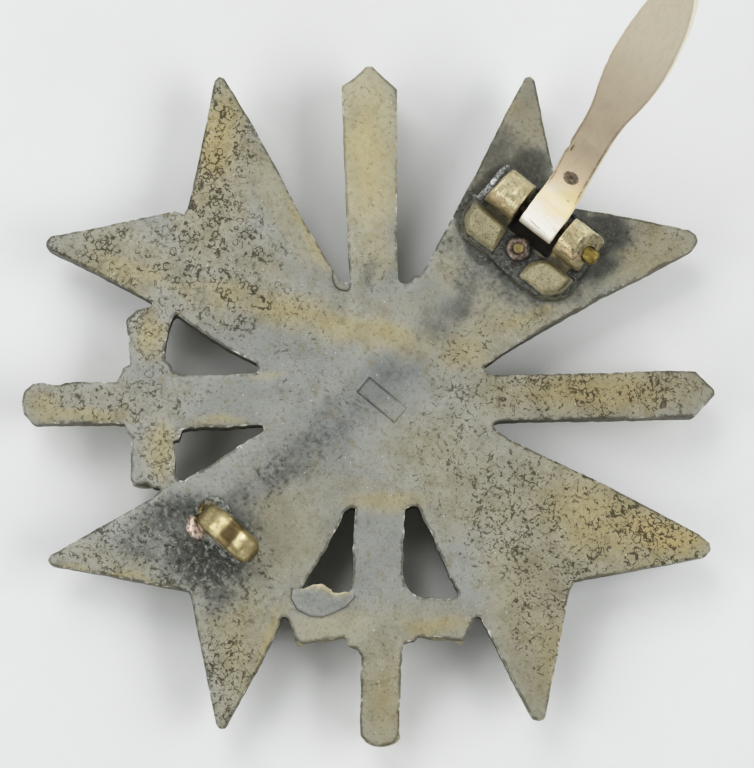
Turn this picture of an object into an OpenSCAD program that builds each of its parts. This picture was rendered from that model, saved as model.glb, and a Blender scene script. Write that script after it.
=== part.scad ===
// Merit cross with crossed swords, lying face down with its back up.
// Millimetres. +Z is the side with the pin, +Y the arm that carries the hinge.
// Z = 0 is the front of the round medallion, which the cross rests on.

/* [Cross plate] */
// Distance from the centre to the ends of the arms
arm_reach = 25.25; // [23:0.05:27]
// Half the width of an arm at its points
arm_half_end = 8.85; // [8:0.05:9.4]
// Half the width an arm would have at the centre of the cross
arm_half_root = 2.28; // [2:0.01:2.6]
// Depth of the notch between an arm's two points
notch_depth = 5.4; // [4:0.1:6.5]
// Width of the blunt tip of each point
tip_blunt = 0.7; // [0.4:0.05:1.1]
// Thickness of arms and swords at the edge
plate_t = 2.4; // [2:0.05:3]
// Depth of the sunk field on the front of each arm
field_sink = 0.35; // [0.2:0.05:0.6]
// Width of the raised border round that field
rim_w = 0.95; // [0.6:0.05:1.4]
// Radius of the hub where arms and swords run together
hub_r = 8.45; // [8.3:0.05:8.8]

/* [Swords] */
// Distance from the centre to a blade's tip
blade_reach = 25.0; // [24:0.05:25.4]
// Half width of the blade at its shoulders
blade_half_tip = 1.98; // [1.8:0.02:2.2]
// Half width of the blade at the hub
blade_half_hub = 1.83; // [1.7:0.01:1.95]
// Distance from the centre to the shoulders of the tip
shoulder_at = 23.35; // [22.8:0.05:23.8]
// Distance from the centre to the outer edge of the cross guard
guard_out = 18.1; // [17.8:0.05:18.4]
// Half length of the cross guard
guard_half = 6.35; // [6:0.05:6.6]
// Half width of the grip
grip_half = 1.45; // [1.3:0.05:1.6]
// Distance from the centre to the end of the pommel
grip_reach = 25.8; // [25:0.05:26.2]
// How far the ridge of a blade stands out of the front
ridge_h = 0.6; // [0.4:0.05:0.9]

/* [Medallion] */
// Radius of the round medallion on the front
medal_r = 8.2; // [7.8:0.05:8.3]
// How far the medallion stands out of the plate's front
medal_h = 2.4; // [2:0.1:2.8]
// Width of the flat outer ring
medal_ring = 0.9; // [0.6:0.05:1.2]
// Radius of the bare raised disc in the middle
boss_r = 4.5; // [4:0.1:5]
// Thickness of the round wreath between ring and disc
wreath_d = 1.5; // [1.2:0.1:1.6]

/* [Sunk cartouche] */
// Length of the bare sunk rectangle on the back
cart_l = 3.6; // [3:0.1:4]
// Height of it
cart_w = 1.45; // [1.2:0.05:1.7]
// Depth of it
cart_d = 0.14; // [0.08:0.02:0.3]

/* [Hinge] */
// Angle by which the block is set askew on its arm
block_turn = 6.0; // [5.5:0.1:6.5]
// Half length of the block's base along the axle
base_half = 4.9; // [4.7:0.05:5.1]
// Thickness of the base
base_t = 0.55; // [0.4:0.05:0.6]
// Height of the axle above the back of the plate
axle_h = 2.35; // [2.3:0.05:2.5]
// Radius of the axle
axle_r = 0.55; // [0.5:0.01:0.58]
// Radius of a knuckle
knuckle_r = 1.62; // [1.5:0.02:1.7]
// Length of a knuckle along the axle
knuckle_l = 2.45; // [2.2:0.05:2.6]
// Half width of the slot between the knuckles
slot_half = 1.82; // [1.78:0.01:1.9]
// Running clearance round the axle in the blade's barrel
run_gap = 0.05; // [0.03:0.01:0.08]

/* [Pin] */
// Radius of the blade's rolled barrel
barrel_r = 1.3; // [1.2:0.02:1.36]
// Half length of the barrel
barrel_half = 1.6; // [1.5:0.01:1.68]
// Thickness of the blade
blade_t = 0.8; // [0.6:0.05:0.9]
// Length of the blade from the axle to its point, along its curve
pin_l = 36; // [34.5:0.5:37]
// Slope of the open blade's bow where it would meet its roll, above the plate
pin_open = 55; // [53:0.5:57]
// Slope at which the sheet leaves the top of its roll
pin_lift = 12; // [10:1:14]
// Length of its nearly flat start
pin_flat = 1.1; // [1:0.1:1.3]
// Radius of the bend that follows, in the middle of the sheet
pin_bend_r = 2.2; // [2:0.1:2.4]
// Slope of the sheet after the bend
pin_rise = 74; // [73:0.5:75]
// Radius of the blade's bow
bow_r = 115; // [100:1:140]
// Sideways lean of the blade in its slot
pin_lean = 0.8; // [0.4:0.1:0.9]

/* [Catch] */
// Outer radius of the hook's bend
hook_r = 2.55; // [2.45:0.05:2.65]
// Thickness of the wire across its bend
wire_t = 1.5; // [1.3:0.05:1.6]
// Width of the wire along the arm
wire_w = 1.9; // [1.7:0.05:2]
// Height of the bend's centre above the plate
hook_h = 1.75; // [1.6:0.05:1.9]
// Angle by which the free end passes the level of that centre
hook_drop = 15; // [5:1:20]

/* [Hidden] */
$fn = 96;

// levels
front_z = medal_h;                 // front of borders and swords
back_z = front_z + plate_t;        // back of the cross
gap = 0.01;                        // between pieces that are fixed to each other
eps = 0.05;

// places on the back: the middle of the hinge block, and the middle of the hook
block_at = [-0.10, 16.70];
axle_v = 1.05;                     // axle beyond the block's middle
hook_at = [-0.58, -14.90];
hook_turn = 2.7;
cart_at = [0.42, 0.13];
cart_turn = 4.5;
rivet_at = [-0.20, -1.50];         // in the block's own frame
rivet_head_r = 0.95;
rivet_head_h = 0.28;
rivet_shank_r = 0.5;
rivet_l = 1.5;

// half width of an arm at a distance r from the centre
function arm_half(r) = arm_half_root + (arm_half_end - arm_half_root) * r / arm_reach;

// outline of one arm along +Y; in = how far the outline is drawn in
function arm_pts(in = 0) =
    let (slope = (arm_half_end - arm_half_root) / arm_reach,
         side = in * sqrt(1 + slope * slope),
         y0 = in > 0 ? hub_r - 1.5 : 0,
         ytip = arm_reach - in * 1.6,
         yn = arm_reach - notch_depth - in * 1.25,
         xt = arm_half(ytip) - side,
         right = [[arm_half(y0) - side, y0],
                  [xt, ytip - 0.25],
                  [xt - 0.15, ytip],
                  [xt - tip_blunt, ytip],
                  [0.35, yn + 0.12]],
         left = [for (i = [len(right) - 1 : -1 : 0]) [-right[i][0], right[i][1]]])
    concat(right, [[0, yn]], left);

// half outline of one sword along +Y, from tip to pommel: [distance from the centre, half width]
sword_table = [
    [blade_reach, 0.12],
    [shoulder_at, blade_half_tip],
    [9.0, blade_half_hub],
    [-9.0, 1.93],
    [-15.0, 1.93],
    [-15.5, 3.3],
    [-15.2, 5.2],
    [-14.7, guard_half - 0.15],
    [-17.3, guard_half + 0.35],
    [-guard_out, guard_half],
    [-guard_out + 0.1, 2.6],
    [-18.5, 2.2],
    [-18.85, 2.1],
    [-19.1, grip_half],
    [-grip_reach + 1.0, grip_half],
    [-grip_reach + 0.35, grip_half - 0.35],
    [-grip_reach, grip_half - 1.05]
];
function sword_pts() = concat(
    [for (r = sword_table) [r[1], r[0]]],
    [for (i = [len(sword_table) - 1 : -1 : 0]) [-sword_table[i][1], sword_table[i][0]]]);

// one arm: the slab behind the sunk field, and the raised border in front of it
module arm() {
    translate([0, 0, front_z + field_sink])
        linear_extrude(height = plate_t - field_sink) polygon(arm_pts());
    translate([0, 0, front_z])
        linear_extrude(height = field_sink + eps)
            difference() {
                polygon(arm_pts());
                polygon(arm_pts(rim_w));
            }
}

// one sword: flat back, and in front a ridged blade, a round guard and a round grip
module sword() {
    translate([0, 0, front_z]) linear_extrude(height = plate_t) polygon(sword_pts());
    translate([0, shoulder_at, front_z])
        rotate([90, 0, 0])
            linear_extrude(height = shoulder_at + 14.9)
                polygon([[-blade_half_hub + 0.1, eps], [0, -ridge_h], [blade_half_hub - 0.1, eps]]);
    translate([-guard_half + 0.1, -(guard_out + 15.6) / 2, front_z + 0.35])
        rotate([0, 90, 0]) cylinder(r = 1.2, h = 2 * guard_half - 0.2);
    translate([0, -18.4, front_z + 0.3])
        rotate([90, 0, 0]) cylinder(r = grip_half, h = grip_reach - 18.4 - 0.9);
    translate([0, -grip_reach + 1.35, front_z + 0.3]) sphere(r = 1.33);
}

// the medallion on the front: ring, round wreath, bare disc
module medallion() {
    translate([0, 0, 0.5]) cylinder(r = medal_r, h = front_z + field_sink);
    difference() {
        cylinder(r = medal_r, h = 0.6);
        translate([0, 0, -eps]) cylinder(r = medal_r - medal_ring, h = 0.6 + 2 * eps);
    }
    cylinder(r = boss_r, h = 0.6);
    rotate_extrude() translate([(boss_r + medal_r - medal_ring) / 2, wreath_d / 2 + 0.06]) circle(d = wreath_d);
}

// moves its children to the block's frame on the back of the cross
module on_block() {
    translate([block_at[0], block_at[1], back_z]) rotate([0, 0, block_turn]) children();
}

module cross_plate() {
    color([0.52, 0.50, 0.44])
    difference() {
        union() {
            for (a = [0 : 90 : 270]) rotate([0, 0, a]) arm();
            for (a = [-45, 45]) rotate([0, 0, a]) sword();
            translate([0, 0, front_z + field_sink]) cylinder(r = hub_r, h = plate_t - field_sink);
            medallion();
        }
        // hole for the rivet's shank
        on_block() translate([rivet_at[0], rivet_at[1], -rivet_l])
            cylinder(r = rivet_shank_r + 0.02, h = rivet_l + 1);
        // bare sunk rectangle
        translate([cart_at[0], cart_at[1], back_z - cart_d]) rotate([0, 0, cart_turn])
            translate([-cart_l / 2, -cart_w / 2, 0]) cube([cart_l, cart_w, 1]);
    }
}

// side profile of one half of the block: a bevelled wing in front, the foot of the knuckle behind
wing_profile = [[-3.05, 0], [-3.05, 0.35], [-2.5, 0.75], [-0.55, 1.75], [-0.55, axle_h - base_t],
                [axle_v + knuckle_r, axle_h - base_t], [axle_v + knuckle_r, 0]];

// one half of the block, standing on the base, from x = 0 along +X
module knuckle() {
    rotate([90, 0, 90]) linear_extrude(height = knuckle_l) polygon(wing_profile);
    translate([0, axle_v, axle_h - base_t]) rotate([0, 90, 0]) cylinder(r = knuckle_r, h = knuckle_l);
}

module hinge_block() {
    color([0.62, 0.56, 0.42])
    on_block() translate([0, 0, gap])
    difference() {
        union() {
            linear_extrude(height = base_t)
                polygon([[-base_half, 3.2], [base_half, 3.2], [base_half, -2.1], [3.7, -3.4],
                         [-3.4, -3.4], [-base_half, -1.9]]);
            // bead of solder at the foot of the two sides
            for (s = [-1, 1]) translate([s * (base_half - 0.55), 2.3, 0.3])
                rotate([90, 0, 0]) cylinder(r = 0.5, h = 3.4);
            translate([slot_half, 0, base_t - eps]) knuckle();
            translate([-slot_half - knuckle_l, 0, base_t - eps]) knuckle();
        }
        // bore for the axle
        translate([-6, axle_v, axle_h - gap]) rotate([0, 90, 0]) cylinder(r = axle_r + 0.02, h = 12);
        // hole for the rivet
        translate([rivet_at[0], rivet_at[1], -1]) cylinder(r = rivet_shank_r + 0.02, h = 3);
        // nothing of the solder reaches below the base
        translate([-8, -8, -2]) cube([16, 16, 2]);
    }
}

module block_rivet() {
    color([0.66, 0.48, 0.42])
    on_block() translate([rivet_at[0], rivet_at[1], 0]) {
        translate([0, 0, -rivet_l + 0.05]) cylinder(r = rivet_shank_r, h = rivet_l + base_t);
        translate([0, 0, base_t + 2 * gap]) cylinder(r1 = rivet_head_r, r2 = rivet_head_r - 0.2, h = rivet_head_h);
    }
}

module hinge_axle() {
    color([0.72, 0.58, 0.24])
    on_block() translate([-slot_half - knuckle_l + 0.05, axle_v, axle_h]) rotate([0, 90, 0])
        cylinder(r = axle_r, h = 2 * slot_half + 2 * knuckle_l + 0.7);
}

// half outline of the blade: [distance along the blade, half width]
leaf_table = [
    [-1.4, 1.58],
    [1.8, 1.57],
    [3.6, 1.47],
    [7.0, 1.42],
    [10.0, 1.34],
    [12.5, 1.31],
    [14.5, 1.46],
    [16.5, 1.74],
    [18.5, 1.94],
    [20.5, 2.01],
    [22.5, 1.98],
    [25.0, 1.85],
    [27.5, 1.64],
    [29.5, 1.34],
    [31.0, 0.95],
    [32.0, 0.55],
    [34.5, 0.36],
    [pin_l, 0.08]
];
// distance along the blade turned into distance along its chord
function chord(s) = bow_r * sin(s / bow_r * 180 / PI);
function leaf_pts() = concat(
    [for (r = leaf_table) [r[1], chord(r[0])]],
    [for (i = [len(leaf_table) - 1 : -1 : 0]) [-leaf_table[i][1], chord(leaf_table[i][0])]]);

// middle of the sheet seen from its side, [beyond the axle, above it]: the bow, and before it a flat start and a bend
mid_r = barrel_r - blade_t / 2;
join_s = 11;                       // where the bow begins, along the blade
function slope(s) = pin_open + s / bow_r * 180 / PI;
function bow_at(s) =
    let (y = bow_r * sin(s / bow_r * 180 / PI), z = mid_r + bow_r * (1 - cos(s / bow_r * 180 / PI)))
    [y * cos(pin_open) - z * sin(pin_open), y * sin(pin_open) + z * cos(pin_open)];
sheet_0 = [-mid_r * sin(pin_lift), mid_r * cos(pin_lift)];
sheet_1 = sheet_0 + pin_flat * [cos(pin_lift), sin(pin_lift)];
function bend_at(a) = sheet_1 + pin_bend_r * [sin(a) - sin(pin_lift), cos(pin_lift) - cos(a)];
ease_0 = bend_at(pin_rise);
ease_1 = ease_0 + 3.2 * [cos(pin_rise), sin(pin_rise)];
ease_2 = bow_at(join_s) - 1.8 * [cos(slope(join_s)), sin(slope(join_s))];
ease_3 = bow_at(join_s);
function ease_at(t) = pow(1 - t, 3) * ease_0 + 3 * pow(1 - t, 2) * t * ease_1
                      + 3 * (1 - t) * t * t * ease_2 + pow(t, 3) * ease_3;
function ease_dir(t) = pow(1 - t, 2) * (ease_1 - ease_0) + 2 * (1 - t) * t * (ease_2 - ease_1) + t * t * (ease_3 - ease_2);
// stations of the sheet: [place, slope]
sheet = concat(
    [[sheet_0, pin_lift]],
    [for (k = [0 : 10]) let (a = pin_lift + (pin_rise - pin_lift) * k / 10) [bend_at(a), a]],
    [for (k = [1 : 5]) [ease_at(k / 6), atan2(ease_dir(k / 6)[1], ease_dir(k / 6)[0])]],
    [for (s = [join_s : 2.5 : pin_l]) [bow_at(s), slope(s)]]);
function sheet_side(d) = [for (q = sheet) q[0] + d * [-sin(q[1]), cos(q[1])]];
function turned_round(list) = [for (i = [len(list) - 1 : -1 : 0]) list[i]];

// the blade in its open place: its side profile cut to its outline, and the roll round the axle
module pin_blade() {
    color([0.74, 0.68, 0.58])
    on_block() translate([0.08, axle_v, axle_h])
    difference() {
        union() {
            translate([-barrel_half, 0, 0]) rotate([0, 90, 0]) cylinder(r = barrel_r, h = 2 * barrel_half);
            intersection() {
                rotate([pin_open, 0, 0]) rotate([0, 0, pin_lean])
                    translate([0, 0, -7]) linear_extrude(height = 20) polygon(leaf_pts());
                rotate([90, 0, 90]) translate([0, 0, -3])
                    linear_extrude(height = 6)
                        polygon(concat(sheet_side(blade_t / 2), turned_round(sheet_side(-blade_t / 2))));
            }
            // end of the roll, which stands on the base when the pin is open
            rotate([90, 0, 90]) translate([0, 0, -barrel_half])
                linear_extrude(height = 2 * barrel_half)
                    polygon([[0.30, -1.15], [0.95, -0.80], [1.00, -1.75], [0.62, -1.75]]);
        }
        translate([-4, 0, 0]) rotate([0, 90, 0]) cylinder(r = axle_r + run_gap, h = 8);
    }
}

// section of the flattened wire, with its edges broken
wire_edge = 0.42;
module wire_section() {
    polygon([for (q = [[1, 1], [-1, 1], [-1, -1], [1, -1]], k = [0, 1])
        let (first = (q[0] * q[1] > 0) == (k == 0))
        first ? [q[0] * wire_t / 2, q[1] * (wire_w / 2 - wire_edge)]
              : [q[0] * (wire_t / 2 - wire_edge), q[1] * wire_w / 2]]);
}

module catch_hook() {
    color([0.62, 0.52, 0.33])
    translate([hook_at[0], hook_at[1], back_z + gap]) rotate([0, 0, hook_turn])
    difference() {
        union() {
            // the bend, from the standing leg over the top to the free end
            translate([0, 0, hook_h]) rotate([90, 0, 0]) rotate([0, 0, -hook_drop])
                rotate_extrude(angle = 180 + hook_drop)
                    translate([hook_r - wire_t / 2, 0]) wire_section();
            // the standing leg
            translate([-hook_r + wire_t / 2, 0, 0]) linear_extrude(height = hook_h) wire_section();
            // the flattened foot on the plate
            translate([-hook_r + 0.5, -wire_w / 2, 0]) cube([hook_r + 0.7, wire_w, 0.5]);
            // solder round the foot
            translate([-hook_r + wire_t / 2, 0, 0]) cylinder(r1 = 1.45, r2 = 0.9, h = 0.55);
        }
        translate([-6, -6, -3]) cube([12, 12, 3]);
    }
}

cross_plate();
hinge_block();
block_rivet();
hinge_axle();
pin_blade();
catch_hook();
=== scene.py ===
import math
import bpy
import bmesh
import numpy as np
from mathutils import Vector, Matrix, kdtree
from mathutils.geometry import delaunay_2d_cdt


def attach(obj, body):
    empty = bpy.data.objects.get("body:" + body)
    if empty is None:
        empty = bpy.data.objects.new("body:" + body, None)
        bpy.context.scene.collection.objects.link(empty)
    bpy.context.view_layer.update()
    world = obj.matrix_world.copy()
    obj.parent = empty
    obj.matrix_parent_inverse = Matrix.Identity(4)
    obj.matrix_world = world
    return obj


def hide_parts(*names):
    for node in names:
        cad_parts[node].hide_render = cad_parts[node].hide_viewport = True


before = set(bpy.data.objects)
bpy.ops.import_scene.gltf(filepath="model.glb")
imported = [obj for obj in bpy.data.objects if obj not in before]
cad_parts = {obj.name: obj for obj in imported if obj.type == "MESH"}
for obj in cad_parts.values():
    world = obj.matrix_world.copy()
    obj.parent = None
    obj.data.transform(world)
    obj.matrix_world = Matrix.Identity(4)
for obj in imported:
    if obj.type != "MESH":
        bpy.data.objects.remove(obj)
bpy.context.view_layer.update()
scene = bpy.context.scene
MM = 0.001
R2 = math.sqrt(0.5)

# ------------------------------------------------------------------ sizes, mm
BACK = 4.8            # back plane of the cross
FRONT = 2.4           # front of borders and swords
SINK = 0.35           # depth of the arms' sunk fields
BLOCK_AT = (-0.10, 16.70)
BLOCK_TURN = 6.0
HOOK_AT = (-0.58, -14.90)
HOOK_TURN = 2.7
AXLE_V, AXLE_H, AXLE_R = 1.05, 2.35, 0.55


# ------------------------------------------------------------------ helpers
def smooth(a, b, x):
    t = np.clip((x - a) / (b - a), 0.0, 1.0)
    return t * t * (3 - 2 * t)


_lattices = {}


def lattice(seed, shape):
    key = (seed, shape)
    if key not in _lattices:
        _lattices[key] = np.random.RandomState(seed).rand(*shape) * 2 - 1
    return _lattices[key]


def noise2(x, y, size, seed, octaves=1):
    """Smooth value noise in -1..1, about size mm from bump to bump."""
    out = np.zeros(np.shape(x))
    amp, tot = 1.0, 0.0
    for o in range(octaves):
        t = lattice(seed + 31 * o, (64, 64))
        u = np.asarray(x) / size * 2 ** o + 7.3 * o + 100
        v = np.asarray(y) / size * 2 ** o + 3.1 * o + 100
        i, j = np.floor(u).astype(int), np.floor(v).astype(int)
        a, b = u - i, v - j
        a, b = a * a * (3 - 2 * a), b * b * (3 - 2 * b)
        out += amp * ((t[i % 64, j % 64] * (1 - a) + t[(i + 1) % 64, j % 64] * a) * (1 - b)
                      + (t[i % 64, (j + 1) % 64] * (1 - a) + t[(i + 1) % 64, (j + 1) % 64] * a) * b)
        tot += amp
        amp *= 0.5
    return out / tot


def noise3(x, y, z, size, seed, octaves=1):
    out = np.zeros(np.shape(x))
    amp, tot = 1.0, 0.0
    for o in range(octaves):
        t = lattice(seed + 31 * o, (32, 32, 32))
        p = [np.asarray(c) / size * 2 ** o + 5.7 * o + 100 for c in (x, y, z)]
        i = [np.floor(c).astype(int) for c in p]
        f = [c - k for c, k in zip(p, i)]
        f = [c * c * (3 - 2 * c) for c in f]
        acc = 0
        for da in (0, 1):
            for db in (0, 1):
                for dc in (0, 1):
                    w = (f[0] if da else 1 - f[0]) * (f[1] if db else 1 - f[1]) * (f[2] if dc else 1 - f[2])
                    acc = acc + w * t[(i[0] + da) % 32, (i[1] + db) % 32, (i[2] + dc) % 32]
        out += amp * acc
        tot += amp
        amp *= 0.5
    return out / tot


def turn2(p, deg):
    a = math.radians(deg)
    p = np.asarray(p, float)
    return np.stack([p[..., 0] * math.cos(a) - p[..., 1] * math.sin(a),
                     p[..., 0] * math.sin(a) + p[..., 1] * math.cos(a)], -1)


def add_mesh(name, V, F, attrs=None, flat_deg=38.0, smooth_all=False):
    """V in mm. F is an array of triangles or quads, or a list of mixed faces. attrs: name -> (n,) or (n,3) array."""
    me = bpy.data.meshes.new(name)
    faces = F.tolist() if isinstance(F, np.ndarray) else F
    me.from_pydata((np.asarray(V, float) * MM).tolist(), [], faces)
    me.validate()
    me.update()
    for key, val in (attrs or {}).items():
        val = np.asarray(val, float)
        if val.ndim == 1:
            a = me.attributes.new(key, "FLOAT", "POINT")
            a.data.foreach_set("value", val.astype(np.float32))
        else:
            a = me.attributes.new(key, "FLOAT_COLOR", "POINT")
            rgba = np.ones((len(val), 4), np.float32)
            rgba[:, :3] = val
            a.data.foreach_set("color", rgba.ravel())
    for p in me.polygons:
        p.use_smooth = True
    if not smooth_all:
        me.set_sharp_from_angle(angle=math.radians(flat_deg))
    ob = bpy.data.objects.new(name, me)
    scene.collection.objects.link(ob)
    return ob


def join(parts):
    """parts: list of (V, faces list, attrs dict) -> one. Missing attributes are zero."""
    keys = sorted({k for p in parts for k in p[2]})
    V, F, A = [], [], {k: [] for k in keys}
    n = 0
    for v, f, a in parts:
        v = np.asarray(v, float)
        V.append(v)
        F.extend([[i + n for i in face] for face in (f.tolist() if isinstance(f, np.ndarray) else f)])
        for k in keys:
            A[k].append(np.asarray(a.get(k, np.zeros(len(v))), float))
        n += len(v)
    return np.concatenate(V), F, {k: np.concatenate(x) for k, x in A.items()}


def nets(S, lo, h):
    """Surface of a signed-distance grid (negative inside) as quads: naive surface nets."""
    B = S < 0
    nx, ny, nz = S.shape
    cnt = np.zeros((nx - 1, ny - 1, nz - 1), np.int8)
    for a in (0, 1):
        for b in (0, 1):
            for c in (0, 1):
                cnt += B[a:nx - 1 + a, b:ny - 1 + b, c:nz - 1 + c]
    act = (cnt > 0) & (cnt < 8)
    idx = np.full(act.shape, -1, np.int64)
    ijk = np.argwhere(act)
    idx[act] = np.arange(len(ijk))
    I, J, K = ijk.T
    acc, num = np.zeros((len(ijk), 3)), np.zeros(len(ijk))
    corners = [(a, b, c) for a in (0, 1) for b in (0, 1) for c in (0, 1)]
    for p in corners:
        for ax in range(3):
            if p[ax]:
                continue
            q = list(p)
            q[ax] = 1
            fa, fb = S[I + p[0], J + p[1], K + p[2]], S[I + q[0], J + q[1], K + q[2]]
            m = (fa < 0) != (fb < 0)
            t = np.zeros(len(I))
            t[m] = fa[m] / (fa[m] - fb[m])
            pos = np.tile(np.array(p, float), (len(I), 1))
            pos[:, ax] = t
            acc[m] += pos[m]
            num[m] += 1
    V = np.asarray(lo, float) + h * (ijk + acc / num[:, None])
    quads = []
    for ax in range(3):
        sl_a = [slice(1, -1)] * 3
        sl_b = [slice(1, -1)] * 3
        sl_a[ax], sl_b[ax] = slice(0, -1), slice(1, None)
        A, C = B[tuple(sl_a)], B[tuple(sl_b)]
        pos = np.argwhere(A != C)
        inside = A[tuple(pos.T)]
        off = np.ones(3, int)
        off[ax] = 0
        pos = pos + off
        u, w = [k for k in range(3) if k != ax]
        q = []
        for du, dw in ((-1, -1), (0, -1), (0, 0), (-1, 0)):
            c = pos.copy()
            c[:, u] += du
            c[:, w] += dw
            q.append(idx[tuple(c.T)])
        q = np.stack(q, 1)
        flip = inside if ax == 1 else ~inside
        q[flip] = q[flip][:, ::-1]
        quads.append(q)
    return V, np.concatenate(quads)


def sgrid(lo, hi, h):
    ax = [np.arange(a, b + h, h) for a, b in zip(lo, hi)]
    return np.meshgrid(*ax, indexing="ij")


def smin(a, b, k):
    m = np.clip(0.5 + 0.5 * (b - a) / k, 0, 1)
    return b * (1 - m) + a * m - k * m * (1 - m)


def smax(a, b, k):
    return -smin(-a, -b, k)


def poly_dist(x, y, pts):
    """Signed distance to a polygon, negative inside."""
    x, y = np.asarray(x), np.asarray(y)
    d = np.full(x.shape, 1e9)
    inside = np.zeros(x.shape, bool)
    n = len(pts)
    for k in range(n):
        (ax, ay), (bx, by) = pts[k], pts[(k + 1) % n]
        ex, ey = bx - ax, by - ay
        wx, wy = x - ax, y - ay
        t = np.clip((wx * ex + wy * ey) / (ex * ex + ey * ey), 0, 1)
        d = np.minimum(d, np.hypot(wx - ex * t, wy - ey * t))
        cross = ((ay > y) != (by > y)) & (x < (bx - ax) * (y - ay) / ((by - ay) if by != ay else 1e-12) + ax)
        inside ^= cross
    return np.where(inside, -d, d)


def inside_loops(P, loops):
    """Even-odd test of points against closed loops."""
    res = np.zeros(len(P), bool)
    order = np.argsort(P[:, 1])
    ys = P[order, 1]
    xs = P[order, 0]
    acc = np.zeros(len(P), bool)
    for L in loops:
        Q = np.roll(L, -1, 0)
        for (ax, ay), (bx, by) in zip(L, Q):
            if ay == by:
                continue
            lo, hi = (ay, by) if ay < by else (by, ay)
            i, j = np.searchsorted(ys, lo, "left"), np.searchsorted(ys, hi, "left")
            if j > i:
                xx = (bx - ax) * (ys[i:j] - ay) / (by - ay) + ax
                acc[i:j] ^= xs[i:j] < xx
    res[order] = acc
    return res


def loft(rings, closed=True, caps=True):
    """rings: (k, n, 3). Quads between following rings; n-gon fans close the ends."""
    rings = np.asarray(rings, float)
    k, n, _ = rings.shape
    V = rings.reshape(-1, 3)
    F = []
    m = n if closed else n - 1
    for a in range(k - 1):
        for b in range(m):
            c = (b + 1) % n
            F.append([a * n + b, a * n + c, (a + 1) * n + c, (a + 1) * n + b])
    if caps:
        V = np.concatenate([V, rings[0].mean(0)[None], rings[-1].mean(0)[None]])
        s, e = k * n, k * n + 1
        for b in range(n):
            c = (b + 1) % n
            F.append([s, c, b])
            F.append([e, (k - 1) * n + b, (k - 1) * n + c])
    return V, F


# ------------------------------------------------------------------ camera, light, floor
cam_data = bpy.data.cameras.new("camera")
cam = bpy.data.objects.new("camera", cam_data)
scene.collection.objects.link(cam)
cam_data.sensor_width = 36.0
cam_data.sensor_fit = "HORIZONTAL"
cam_data.lens = 3667.6 / 754 * 36.0
cam_data.clip_start = 0.01
cam_data.clip_end = 10
rot = Matrix(((0.717986, -0.690818, 0.085241), (0.695961, 0.710447, -0.104421), (0.011576, 0.134297, 0.990874)))
cam.matrix_world = Matrix.Translation(Vector((22.3509, -27.466, 272.3358)) * MM) @ rot.to_4x4()
scene.camera = cam
scene.view_settings.view_transform = "Standard"
# the gentle S-shaped response of a camera: a soft shoulder over the paper, deeper shadows
scene.view_settings.use_curve_mapping = True
response = scene.view_settings.curve_mapping
response.extend = "EXTRAPOLATED"
RESPONSE = [(0.0, 0.0), (0.05, 0.030), (0.10, 0.078), (0.15, 0.138), (0.26, 0.278), (0.36, 0.400), (0.50, 0.545), (0.66, 0.680), (0.88, 0.800), (1.0, 0.855)]
curve = response.curves[3]
curve.points[0].location = RESPONSE[0]
curve.points[1].location = RESPONSE[-1]
for at in RESPONSE[1:-1]:
    curve.points.new(*at)
response.update()

# what the camera sees as right and up, as directions on the table
SEE_R = np.array([R2, R2])
SEE_U = np.array([-R2, R2])


def seen(x, y):
    """Table position, in mm, turned to the camera's right and up."""
    return (x + y) * R2, (y - x) * R2


def softbox(name, azimuth, elevation, distance, size, radiance, height=None):
    """A softbox on a dome. Azimuth runs clockwise from the camera's up, in degrees; radiance is what it shows."""
    az, el_ = math.radians(azimuth), math.radians(elevation)
    xy = math.cos(el_) * (math.sin(az) * SEE_R + math.cos(az) * SEE_U)
    data = bpy.data.lights.new(name, "AREA")
    data.shape = "RECTANGLE"
    data.size, data.size_y = size, height or size
    data.energy = radiance * math.pi * data.size * data.size_y
    ob = bpy.data.objects.new(name, data)
    scene.collection.objects.link(ob)
    ob.location = Vector((xy[0], xy[1], math.sin(el_))) * distance
    ob.rotation_euler = (-ob.location).to_track_quat("-Z", "Y").to_euler()
    return ob


softbox("softbox_right", 90, 45, 0.60, 0.28, 3.95)
softbox("softbox_right_front", 120, 43, 0.60, 0.28, 3.6)
softbox("softbox_left", 270, 45, 0.60, 0.30, 3.15)
softbox("softbox_left_front", 231, 33, 0.60, 0.28, 3.0)
softbox("softbox_top_left", 330, 54, 0.60, 0.30, 3.85)
softbox("softbox_back", 0, 38, 0.60, 0.26, 1.45)
softbox("strip_back", 30, 10, 0.70, 0.55, 2.5, 0.16)
softbox("card_front", 228, 9, 0.60, 0.30, 2.4, 0.12)

world = bpy.data.worlds.new("world")
scene.world = world
world.use_nodes = True
nt = world.node_tree
nt.nodes.clear()
w_out = nt.nodes.new("ShaderNodeOutputWorld")
w_bg = nt.nodes.new("ShaderNodeBackground")
w_tc = nt.nodes.new("ShaderNodeTexCoord")
w_sep = nt.nodes.new("ShaderNodeSeparateXYZ")
w_ramp = nt.nodes.new("ShaderNodeValToRGB")
el = w_ramp.color_ramp.elements
el[0].position, el[0].color = 0.0, (0.26, 0.26, 0.26, 1)
el[1].position, el[1].color = 1.0, (0.05, 0.05, 0.05, 1)
for at, v in ((0.30, 0.23), (0.60, 0.19), (0.86, 0.14), (0.95, 0.08)):
    e = el.new(at)
    e.color = (v, v * 1.01, v * 1.015, 1)
nt.links.new(w_tc.outputs["Generated"], w_sep.inputs[0])
nt.links.new(w_sep.outputs["Z"], w_ramp.inputs["Fac"])
nt.links.new(w_ramp.outputs["Color"], w_bg.inputs["Color"])
w_bg.inputs["Strength"].default_value = 1.0
nt.links.new(w_bg.outputs[0], w_out.inputs["Surface"])


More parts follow.
